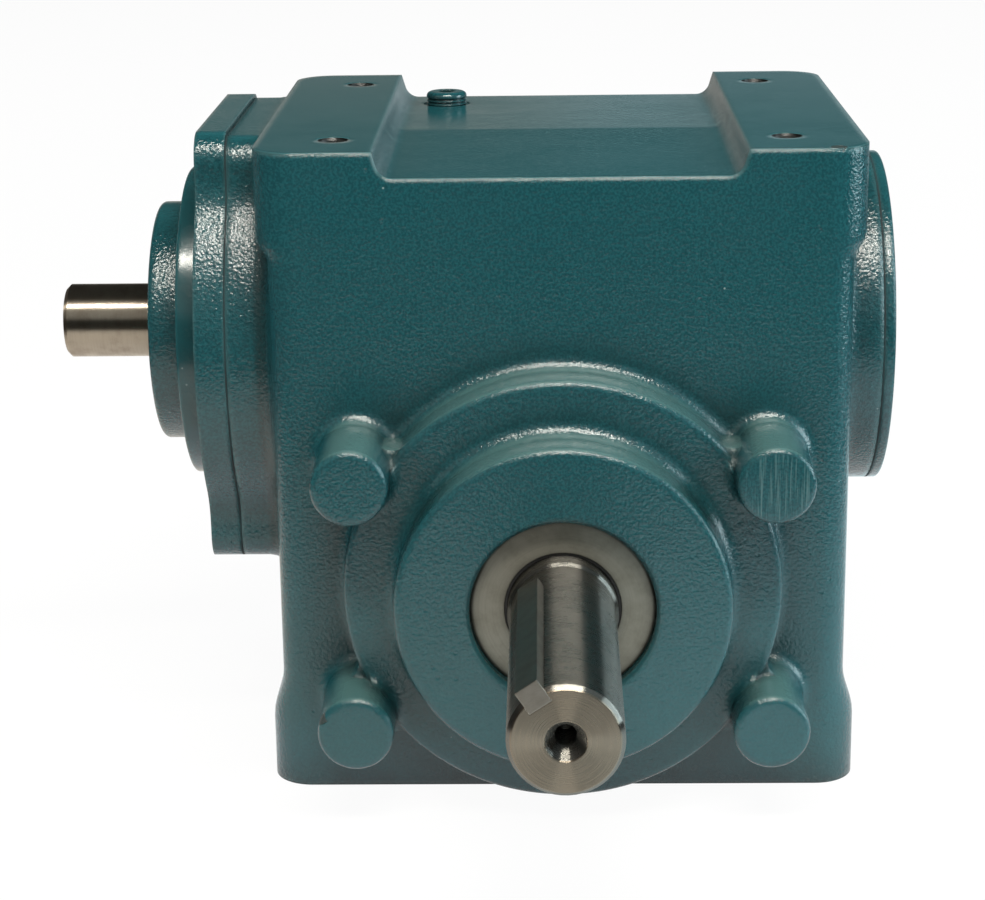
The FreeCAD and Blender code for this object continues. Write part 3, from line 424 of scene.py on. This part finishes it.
# %% [markdown]
# ## The paint
# One dark teal enamel covers the castings, the bolts and the plugs. It is a plain Principled surface: a dark
# colour, good gloss, the cast skin as bump, a lighter edge where the paint runs thin that also paints a
# highlight, and dust with painted shade in the corners. Milled faces and faces that look up are calmer than
# the rest, and faces that look up are painted lighter, as light from above. On the case, the ledges of the
# front ring and bosses carry a painted pale sheen.

# %% Paint recipe
PAINT_GLOSS, PAINT_DEPTH, PAINT_IOR = 0.13, 0.00030, 1.6
FRONT_GRAIN, FRONT_EDGE, EDGE_FADE = 0.72, 0.0022, 0.0004
MILLED_CALM, CLOUD_SHARE, EDGE_THIN_AND_SHEEN_SHARE, SHADE_AND_DUST_SHARE = 0.92, 0.4, 0.45, 0.9
UP_CALM, UP_LIT, UP_LEDGE_SHEEN = (0.80, 0.75), (0.90, 0.80), (0.55, 0.80)
CLOUDS, SCUFFS, FLECK_CELLS, FLECK_CHOICE = 16.0, 38.0, 130.0, 0.72
MOTTLE_HEIGHTS, MOTTLE_SHARES, DUST_DULL = (0.035, 0.095), (0.25, 0.75), 0.20


def start_material(name):
    """A material with an empty Principled surface, its tree and its shader."""
    material = bpy.data.materials.new(name)
    material.use_nodes = True
    tree = material.node_tree
    return material, tree, tree.nodes["Principled BSDF"]


def wire_surface(tree, shader, colour, roughness, height, depth, normal):
    """Links a colour, a roughness and a bump over a normal to a Principled surface."""
    bump = place(tree, "ShaderNodeBump", {"Height": height, "Normal": normal, "Distance": depth})
    feed(tree, shader.inputs["Base Color"], colour)
    feed(tree, shader.inputs["Roughness"], roughness)
    feed(tree, shader.inputs["Normal"], bump.outputs["Normal"])


def add_flecks(tree, colour):
    """Sparse pale specks of dust that dried into the paint."""
    inputs = {"Vector": own_point(tree), "Scale": FLECK_CELLS, "Randomness": 1.0}
    cells = place(tree, "ShaderNodeTexVoronoi", inputs).outputs
    chosen = place(tree, "ShaderNodeSeparateColor", {"Color": cells["Color"]}).outputs[0]
    dots = ramp(tree, cells["Distance"], 0.02, 0.05, 0.55, 0.0)
    return blend(tree, times(tree, dots, calc(tree, "GREATER_THAN", chosen, FLECK_CHOICE)), colour, FLECK)


def mix_teal(tree, tone, rough_part):
    """The enamel's colour: slow clouds, a mottle on rough skin that fades low down, flecks, painted light on
    tops.
    """
    cloud = ramp(tree, noise(tree, own_point(tree), CLOUDS, 3.0), 0.35, 0.70, 0.0, CLOUD_SHARE)
    colour = blend(tree, cloud, TEAL, TEAL_PALE)
    mottle = times(tree, tone, rough_part)
    mottle = times(tree, mottle, ramp(tree, along(tree, "Z"), *MOTTLE_HEIGHTS, *MOTTLE_SHARES))
    colour = blend(tree, mottle, colour, TEAL_DEEP)
    # Painted light: faces that look up get a lighter teal, as if lit from above.
    colour = blend(tree, facing_up(tree, *UP_LIT), colour, TEAL_LIT_TOP)
    return add_flecks(tree, colour)


def make_paint(name, grain, edge=0.0016, planes=(), bands=(), case=False):
    """Enamel over a casting. planes lists milled faces as (axis, level), bands as (axis, low, high).

    The case has a calmer front, front edges of their own width, painted sheen on ledges, marks of use and
    shade.
    """
    material, tree, shader = start_material(name)
    if case:
        depth_in = along(tree, "Y")
        grain = ramp(tree, beyond(tree, "X", SIDE_WALL), 0.0, 1.0, FRONT_GRAIN, grain)
        edge = ramp(tree, depth_in, FRONT_WALL - EDGE_FADE, FRONT_WALL + EDGE_FADE, FRONT_EDGE, edge)
    skin = use_group(tree, cast_skin, Grain=grain)
    rim = use_group(tree, broken_edges, Radius=edge)
    grit = use_group(tree, corner_shade_and_dust, Amount=SHADE_AND_DUST_SHARE)
    flat = [near_plane(tree, axis, level) for axis, level in planes]
    flat += [between(tree, axis, low, high) for axis, low, high in bands]
    milled = times(tree, largest(tree, flat), MILLED_CALM)
    calm = calc(tree, "MAXIMUM", milled, facing_up(tree, *UP_CALM))
    rough_part = calc(tree, "SUBTRACT", 1.0, calm)
    colour = mix_teal(tree, skin["Tone"], rough_part)
    # Painted highlight: the lighter teal of thin paint on edges also stands in for the lamp's line along
    # them.
    colour = blend(tree, times(tree, rim["Edge"], EDGE_THIN_AND_SHEEN_SHARE), colour, TEAL_THIN_AND_SHEEN)
    if case:
        # Painted sheen: up-facing ledges in front of the wall get a pale colour in place of reflected light.
        ledge_sheen = times(tree, facing_up(tree, *UP_LEDGE_SHEEN), calc(tree, "LESS_THAN", depth_in, FRONT_WALL))
        colour = blend(tree, ledge_sheen, colour, LEDGE_SHEEN)
    # Painted shade with dust: corners found by Ambient Occlusion get the dark dust colour.
    colour = blend(tree, grit["Shade And Dust"], colour, SHADE_AND_DUST)
    height = times(tree, skin["Height"], rough_part)
    scuff = noise(tree, own_point(tree), SCUFFS, 4.0, 0.6)
    roughness = ramp(tree, scuff, 0.35, 0.75, PAINT_GLOSS - 0.02, PAINT_GLOSS + 0.06)
    roughness = calc(tree, "MULTIPLY_ADD", grit["Shade And Dust"], DUST_DULL, roughness)
    if case:
        colour, height, roughness = add_case_marks(tree, colour, height, roughness)
    wire_surface(tree, shader, colour, roughness, height, PAINT_DEPTH, rim["Normal"])
    shader.inputs["IOR"].default_value = PAINT_IOR
    return material


print("paint recipe ready")

# %% [markdown]
# Now the five enamels, each with its own grain and its milled faces.

# %% Five enamels
milled_case = (("Z", TOP_FACE), ("Z", BASE_FACE), ("Y", 0.0855), ("X", -0.094))
milled_cover = (("Y", 0.096),)
turned_pilot = (("X", -0.1107, -0.1031),)
case_paint = make_paint("case enamel", 0.95, edge=0.0028, planes=milled_case, case=True)
cover_paint = make_paint("cover enamel", 0.95, planes=milled_cover, bands=turned_pilot)
end_cover_paint = make_paint("end cover enamel", 0.8)
bolt_paint = make_paint("painted bolt enamel", 0.25, edge=0.0005)
plug_paint = make_paint("painted plug enamel", 0.25, edge=0.0003)
print("five enamels made")

# %% [markdown]
# ## Bare steel
# The shafts are turned and ground, the keys are drawn bar, the bearings are hardened and polished. They
# share one recipe: a metal colour, rings in the roughness and bump, and a light film of oil that stains the
# tone. The values tell them apart. A shaft that was ground all round also smears its reflections along its
# axis, and the tip of the output shaft was only faced on the lathe and has tarnished.

# %% Steel recipe
OUTPUT_HEIGHT, WORM_HEIGHT = 0.0635, 0.12065
OUTPUT_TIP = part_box("output_shaft")[0][1]
RING_DEPTH, STEEL_EDGE, STEEL_REACH, STEEL_SHADE_AND_DUST_SHARE = 0.000004, 0.0004, 0.004, 0.8
FILM_SHARE, FILM_DULL, RING_SHARE, SMEAR_TURN = 0.55, 0.05, 0.15, 0.25
STEEL_SHADE_AND_DUST = (0.02, 0.019, 0.017, 1.0)


def grind(tree, shader, axis):
    """Stretches the reflections of a shaft along its axis."""
    around = place(tree, "ShaderNodeTangent", direction_type="RADIAL", axis=axis)
    feed(tree, shader.inputs["Tangent"], around.outputs["Tangent"])
    shader.inputs["Anisotropic"].default_value = 1.0
    shader.inputs["Anisotropic Rotation"].default_value = SMEAR_TURN


def make_steel(name, colour, stain, gloss, lines=2600.0, worm=False, ground=None, tarnish=None):
    """Bare metal with lathe rings about the output axis, or about the worm's.

    ground names the axis of a shaft that was ground all round, tarnish is the tone of the output tip.
    """
    material, tree, shader = start_material(name)
    axis_x, axis_z = (1.0, WORM_HEIGHT) if worm else (0.0, OUTPUT_HEIGHT)
    marks = use_group(tree, lathe_marks, Axis_X=axis_x, Axis_Z=axis_z, Lines=lines)
    rim = use_group(tree, broken_edges, Radius=STEEL_EDGE)
    grit = use_group(tree, corner_shade_and_dust, Reach=STEEL_REACH, Amount=STEEL_SHADE_AND_DUST_SHARE)
    film = ramp(tree, marks["Smear"], 0.38, 0.72)
    tone = blend(tree, times(tree, film, FILM_SHARE), colour, stain)
    tone = blend(tree, ramp(tree, marks["Rings"], 0.45, 0.75, 0.0, RING_SHARE), tone, stain)
    if tarnish:
        worked = ramp(tree, marks["Rings"], 0.3, 0.7, 1.0, 0.75)
        tone = blend(tree, times(tree, near_plane(tree, "Y", OUTPUT_TIP), worked), tone, tarnish)
    # Painted shade with dust: corners found by Ambient Occlusion darken the steel.
    tone = blend(tree, grit["Shade And Dust"], tone, STEEL_SHADE_AND_DUST)
    roughness = ramp(tree, marks["Rings"], 0.3, 0.7, gloss - 0.02, gloss + 0.03)
    roughness = calc(tree, "MULTIPLY_ADD", film, FILM_DULL, roughness)
    wire_surface(tree, shader, tone, roughness, marks["Rings"], RING_DEPTH, rim["Normal"])
    shader.inputs["Metallic"].default_value = 1.0
    if ground:
        grind(tree, shader, ground)
    return material


print("output tip at", round(OUTPUT_TIP, 4))

# %% [markdown]
# Each metal has a clean colour and a stained one.

# %% Ten bare metals
shaft_steel = make_steel("ground output shaft", (0.205, 0.198, 0.181, 1), (0.158, 0.147, 0.132, 1), 0.26,
                         ground="Y", tarnish=(0.27, 0.225, 0.175, 1))
worm_steel = make_steel("ground worm shaft", (0.44, 0.38, 0.31, 1), (0.26, 0.20, 0.15, 1), 0.34,
                        worm=True, ground="X")
key_steel = make_steel("drawn key bar", (0.31, 0.28, 0.245, 1), (0.19, 0.165, 0.14, 1), 0.36)
seal_steel = make_steel("pressed seal case", (0.30, 0.29, 0.25, 1), (0.21, 0.195, 0.16, 1), 0.62,
                        lines=1500.0)
screw_steel = make_steel("blackened screw steel", (0.10, 0.10, 0.105, 1), (0.05, 0.05, 0.05, 1), 0.38)
bearing_steel = make_steel("polished bearing steel", (0.62, 0.61, 0.59, 1), (0.48, 0.46, 0.43, 1), 0.16)
cage_steel = make_steel("pressed cage steel", (0.44, 0.43, 0.42, 1), (0.30, 0.28, 0.26, 1), 0.34)
spacer_steel = make_steel("turned spacer steel", (0.52, 0.50, 0.47, 1), (0.38, 0.35, 0.32, 1), 0.30)
wheel_iron = make_steel("machined cast iron", (0.30, 0.29, 0.28, 1), (0.20, 0.19, 0.18, 1), 0.46,
                        lines=1400.0)
wheel_bronze = make_steel("worm wheel bronze", (0.66, 0.43, 0.20, 1), (0.42, 0.25, 0.11, 1), 0.28)
print("ten bare metals made")

# %% [markdown]
# ## Rubber and gasket
# The seal lips are black nitrile, moulded smooth and filmed with grease. The gaskets are fibre sheet, of
# which only the cut edge shows: painted over in places, dark with oil in others.

# %% Rubber and gasket materials
SOFT_EDGE, SOFT_PATCHES, WORN_SHARE, WORN_DULL = 0.0003, 60.0, 0.6, 0.15


def make_soft(name, colour, worn, gloss, grain, depth):
    """A soft or fibrous surface with a fine grain and a patchy tone."""
    material, tree, shader = start_material(name)
    point = own_point(tree)
    fibres = noise(tree, point, grain, 4.0, 0.65)
    patch = ramp(tree, noise(tree, point, SOFT_PATCHES, 3.0), 0.35, 0.70)
    rim = use_group(tree, broken_edges, Radius=SOFT_EDGE)
    tone = blend(tree, times(tree, patch, WORN_SHARE), colour, worn)
    roughness = ramp(tree, patch, 0.0, 1.0, gloss, gloss + WORN_DULL)
    wire_surface(tree, shader, tone, roughness, fibres, depth, rim["Normal"])
    return material


seal_rubber = make_soft("greased nitrile", (0.005, 0.005, 0.005, 1), (0.010, 0.009, 0.009, 1),
                        gloss=0.55, grain=900.0, depth=0.00003)
gasket_fibre = make_soft("painted gasket edge", (0.003, 0.010, 0.012, 1), (0.008, 0.040, 0.046, 1),
                         gloss=0.75, grain=1600.0, depth=0.00006)
print("rubber and gasket made")

# %% [markdown]
# ## Giving each node its finish
# Every CAD node names a material slot in the record. A dictionary from slot to material is enough to dress
# all of them, and anything that was forgotten stops the script.

# %% Dress the nodes
finishes = {
    "case_paint": case_paint, "cover_paint": cover_paint, "end_cover_paint": end_cover_paint,
    "bolt_paint": bolt_paint, "plug_paint": plug_paint, "gasket": gasket_fibre,
    "screw_steel": screw_steel, "seal_steel": seal_steel, "seal_rubber": seal_rubber,
    "shaft_steel": shaft_steel, "worm_steel": worm_steel, "key_steel": key_steel,
    "wheel_iron": wheel_iron, "wheel_bronze": wheel_bronze, "spacer_steel": spacer_steel,
    "bearing_steel": bearing_steel, "cage_steel": cage_steel,
}

for entry in frame["record"]["subparts"]:
    finish = finishes[entry["material_slot"]]
    materials = nodes[entry["node"]].data.materials
    for index in range(len(materials)):
        materials[index] = finish
    if not len(materials):
        materials.append(finish)
print("dressed", len(nodes), "nodes")

# %% [markdown]
# ## Screw threads in the tapped feet
# The solids have plain holes at the size between crest and root. A ridge that winds down the wall turns each
# of them into a tapped hole: one small triangle, spun about the hole while it sinks by a share of the pitch
# with every step.

# %% Threads of the feet
HOLE_DEPTH, THREAD_PITCH, THREAD_RISE = 0.016, 0.0015875, 0.0005
LEAD_IN, HALF_RIDGE, WALL_OVERLAP = 0.7, 0.36, 0.00005
STEPS_PER_TURN = 28


def add_piece(name, shape, material):
    """Turns a finished bmesh into an object with one material."""
    data = bpy.data.meshes.new(name.replace("_", " "))
    shape.to_mesh(data)
    shape.free()
    data.materials.append(material)
    piece = bpy.data.objects.new(name, data)
    bpy.context.collection.objects.link(piece)
    return piece


def wind_thread(mesh, x, y, mouth, inward):
    """One ridge in a hole that opens at the mouth height and runs inward, up or down."""
    turns = (HOLE_DEPTH - THREAD_PITCH) / THREAD_PITCH - 1.0
    steps = int(turns * STEPS_PER_TURN)
    top = mouth + inward * THREAD_PITCH * LEAD_IN
    half = THREAD_PITCH * HALF_RIDGE
    wall = HOLE_RADIUS + WALL_OVERLAP
    corners = [(wall, -half), (HOLE_RADIUS - THREAD_RISE, 0.0), (wall, half)]
    verts = [mesh.verts.new((x + radius, y, top + rise)) for radius, rise in corners]
    edges = [mesh.edges.new((verts[0], verts[1])), mesh.edges.new((verts[1], verts[2]))]
    sink = (0.0, 0.0, inward * THREAD_PITCH / STEPS_PER_TURN)
    bmesh.ops.spin(mesh, geom=verts + edges, cent=(x, y, 0.0), axis=(0.0, 0.0, inward), steps=steps,
                   angle=math.tau * steps / STEPS_PER_TURN, dvec=sink)


def make_threads():
    mesh = bmesh.new()
    for mouth, inward in ((TOP_FACE, -1.0), (BASE_FACE, 1.0)):
        for side in (-0.5, 0.5):
            for end in (-0.5, 0.5):
                wind_thread(mesh, side * HOLE_SPACING_X, end * HOLE_SPACING_Y, mouth, inward)
    bmesh.ops.recalc_face_normals(mesh, faces=mesh.faces)
    threads = add_piece("foot_threads", mesh, wheel_iron)
    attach(threads, "gearcase")
    return threads


threads = make_threads()
print("threads have", len(threads.data.polygons), "faces")

# %% [markdown]
# ## Floor and background
# The photograph has a plain white background. A wide floor sheet carries a faint shadow: to the camera it is
# mostly its own white, with a share of real shading left in. The world does the same, and metal sees that
# white too.

# %% Floor and world
WHITE, PAPER, DAYLIGHT = (1.0, 1.0, 1.0, 1.0), (0.82, 0.82, 0.82, 1.0), (0.95, 0.98, 1.0, 1.0)
WHITE_SHARE, DAYLIGHT_STRENGTH, FLOOR_HALF, FLOOR_GAP = 0.95, 0.20, 6.0, 0.0002


def start_plain(name):
    """A material without its Principled surface, its tree and the input for another shader."""
    material, tree, shader = start_material(name)
    tree.nodes.remove(shader)
    return material, tree, tree.nodes["Material Output"].inputs["Surface"]


def mix_shaders(tree, share, first, second):
    """Mixes two shaders, as a socket."""
    inputs = {0: share, 1: first.outputs[0], 2: second.outputs[0]}
    return place(tree, "ShaderNodeMixShader", inputs).outputs[0]


def seen_directly(tree):
    """One for camera, glossy and transmission rays, nothing for the light that the scene bounces about."""
    rays = place(tree, "ShaderNodeLightPath").outputs
    seen = calc(tree, "MAXIMUM", rays["Is Camera Ray"], rays["Is Glossy Ray"])
    return calc(tree, "MAXIMUM", seen, rays["Is Transmission Ray"])


def make_floor():
    material, tree, surface = start_plain("white studio paper")
    paper = place(tree, "ShaderNodeBsdfDiffuse", {"Color": PAPER})
    white = place(tree, "ShaderNodeEmission", {"Color": WHITE, "Strength": 1.0})
    share = times(tree, seen_directly(tree), WHITE_SHARE)
    feed(tree, surface, mix_shaders(tree, share, paper, white))
    sheet = bmesh.new()
    bmesh.ops.create_grid(sheet, x_segments=1, y_segments=1, size=FLOOR_HALF)
    floor = add_piece("studio_floor", sheet, material)
    floor.location.z = cad_box[0][2] - FLOOR_GAP
    return floor


def make_world():
    world = bpy.data.worlds.new("white studio")
    world.use_nodes = True
    tree = world.node_tree
    soft = place(tree, "ShaderNodeBackground", {"Color": DAYLIGHT, "Strength": DAYLIGHT_STRENGTH})
    white = place(tree, "ShaderNodeBackground", {"Color": WHITE, "Strength": 1.0})
    mixed = mix_shaders(tree, seen_directly(tree), soft, white)
    feed(tree, tree.nodes["World Output"].inputs["Surface"], mixed)
    bpy.context.scene.world = world


floor = make_floor()
make_world()
print("floor at", round(floor.location.z, 4))

# %% [markdown]
# ## Lamps
# The gloss of the enamel shows what stands around it. In the photograph one wide lamp overhead, a little to
# the front, draws the bright lines on the edges and on the input shaft, and a window on the right adds
# cooler ones. Reflections may see these two. The three fills, at the front right, behind and on the left,
# only soften the shadows.

# %% Lamps
LAMP_TARGET = Vector((0.0, 0.0, 0.10))
LAMP_WARM, LAMP_COOL, LAMP_PALE = (1.0, 0.965, 0.87), (0.76, 0.94, 1.0), (0.88, 0.97, 1.0)


def hang_lamp(name, spot, size, watts, colour=(1.0, 1.0, 1.0), mirrored=False):
    """A rectangular lamp that faces the reducer. Only a mirrored one shows in reflections."""
    data = bpy.data.lights.new(name, "AREA")
    data.shape = "RECTANGLE"
    data.size, data.size_y = size
    data.energy = watts
    data.color = colour
    lamp = bpy.data.objects.new(name, data)
    bpy.context.collection.objects.link(lamp)
    lamp.location = spot
    lamp.rotation_euler = (LAMP_TARGET - Vector(spot)).to_track_quat("-Z", "Y").to_euler()
    lamp.visible_glossy = mirrored


hang_lamp("overhead lamp", (0.08, -0.62, 1.15), (0.85, 0.17), 20.0, LAMP_WARM, mirrored=True)
hang_lamp("right window", (1.30, -0.15, 0.45), (0.6, 0.9), 13.0, LAMP_COOL, mirrored=True)
hang_lamp("front fill", (0.95, -1.25, 0.60), (0.5, 0.7), 4.5, LAMP_PALE)
hang_lamp("rear fill", (0.2, 1.3, 1.5), (1.6, 0.8), 16.0)
hang_lamp("left fill", (-1.5, -0.3, 0.7), (1.0, 0.8), 7.0)
print("five lamps hung")

# %% [markdown]
# ## A dim room for the reflections
# White paper lies under the reducer, but only for a hand's width around it. Beyond that the room is dim, and
# that is what keeps the upper wall and the shafts deep in colour. A drum that only reflections can see
# stands for the room: it starts on the floor under the reducer, fades from the white of the paper to the dim
# of the walls, and closes overhead above the lamps. It is paler behind, low down, as the paper is there, and
# in front, high up, for a pale wall behind the camera. The left side is a little warmer, and the right side
# is cooler and brighter.

# %% Dim room
PAPER_START, PAPER_EDGE, PAPER_END = 0.14, 0.31, 0.46
ROOM_REACH, WALL_TOP, CEILING = 2.2, 1.9, 2.6
ROOM_DIM, ROOM_PALE, ROOM_FRONT = 0.045, 0.40, 0.48
WARM, COOL, PAPER_RIGHT = (1.0, 0.96, 0.88, 1.0), (0.80, 0.96, 1.0, 1.0), 1.25
FLOOR_LEVEL, DRUM_STEPS, TINT_HALF = 0.003, 64, 0.12
BEHIND_Y, BEHIND_Z, AHEAD_Y, AHEAD_Z = (0.4, 1.2), (0.25, 0.62), (-0.9, -0.3), (0.4, 1.0)


def make_room_cloth():
    material, tree, surface = start_plain("dim room")
    point = own_point(tree)
    split = place(tree, "ShaderNodeSeparateXYZ", {"Vector": point}).outputs
    away = place(tree, "ShaderNodeVectorMath", {0: point}, operation="LENGTH").outputs["Value"]
    paper = ramp(tree, away, PAPER_EDGE, PAPER_END, 1.0, 0.0)
    behind = times(tree, ramp(tree, split["Y"], *BEHIND_Y), ramp(tree, split["Z"], *BEHIND_Z, 1.0, 0.0))
    ahead = times(tree, ramp(tree, split["Y"], *AHEAD_Y, 1.0, 0.0), ramp(tree, split["Z"], *AHEAD_Z))
    level = ramp(tree, behind, 0.0, 1.0, ROOM_DIM, ROOM_PALE)
    level = largest(tree, (level, times(tree, ahead, ROOM_FRONT), paper))
    right_share = ramp(tree, split["X"], -TINT_HALF, TINT_HALF)
    level = times(tree, level, ramp(tree, right_share, 0.0, 1.0, 1.0, PAPER_RIGHT))
    tint = blend(tree, right_share, WARM, COOL)
    glow = place(tree, "ShaderNodeEmission", {"Color": tint, "Strength": level})
    feed(tree, surface, glow.outputs[0])
    return material


def stand_room():
    """A drum round the reducer, from the paper over the walls to the ceiling."""
    drum = bmesh.new()
    profile = [(PAPER_START, FLOOR_LEVEL), (PAPER_END, FLOOR_LEVEL), (ROOM_REACH - 0.4, FLOOR_LEVEL),
               (ROOM_REACH - 0.1, 0.1), (ROOM_REACH, 0.4), (ROOM_REACH, WALL_TOP),
               (ROOM_REACH / 2, CEILING), (0.02, CEILING)]
    verts = [drum.verts.new((radius, 0.0, z)) for radius, z in profile]
    edges = [drum.edges.new(pair) for pair in zip(verts, verts[1:])]
    bmesh.ops.spin(drum, geom=verts + edges, cent=(0, 0, 0), axis=(0, 0, 1), angle=math.tau,
                   steps=DRUM_STEPS, use_merge=True)
    room = add_piece("dim_room", drum, make_room_cloth())
    room.visible_camera = False
    room.visible_diffuse = False
    room.visible_shadow = False
    room.visible_transmission = False
    return room


room = stand_room()
print("room has", len(room.data.polygons), "faces")

# %% [markdown]
# ## The camera
# The view was found by matching corners, holes and shaft ends of the model with the photograph: a long lens
# a little above the reducer, turned a degree or so to the left, with the horizon tipped by less than a
# degree.

# %% Camera
VIEW_SPOT = (-0.0037482, -0.7290583, 0.2948303)
VIEW_YAW, VIEW_PITCH, VIEW_ROLL = -0.0236, 0.2886, 0.0135
LENS_PIXELS, IMAGE_WIDTH = 2456.15, 985.0

camera_data = bpy.data.cameras.new("portrait lens")
camera_data.sensor_width = 36.0
camera_data.lens = LENS_PIXELS * camera_data.sensor_width / IMAGE_WIDTH
camera_data.clip_start = 0.01
camera = bpy.data.objects.new("portrait_camera", camera_data)
bpy.context.collection.objects.link(camera)
ground_share = math.cos(VIEW_PITCH)
forward = Vector((math.sin(VIEW_YAW) * ground_share, math.cos(VIEW_YAW) * ground_share,
                  -math.sin(VIEW_PITCH)))
level = Vector((math.cos(VIEW_YAW), -math.sin(VIEW_YAW), 0.0))
down = forward.cross(level)
right = level * math.cos(VIEW_ROLL) + down * math.sin(VIEW_ROLL)
below = down * math.cos(VIEW_ROLL) - level * math.sin(VIEW_ROLL)
turned = Matrix((right, -below, -forward)).transposed().to_4x4()
camera.matrix_world = Matrix.Translation(VIEW_SPOT) @ turned
bpy.context.scene.camera = camera
bpy.context.scene.view_settings.view_transform = "Standard"
print("lens", round(camera_data.lens, 2))
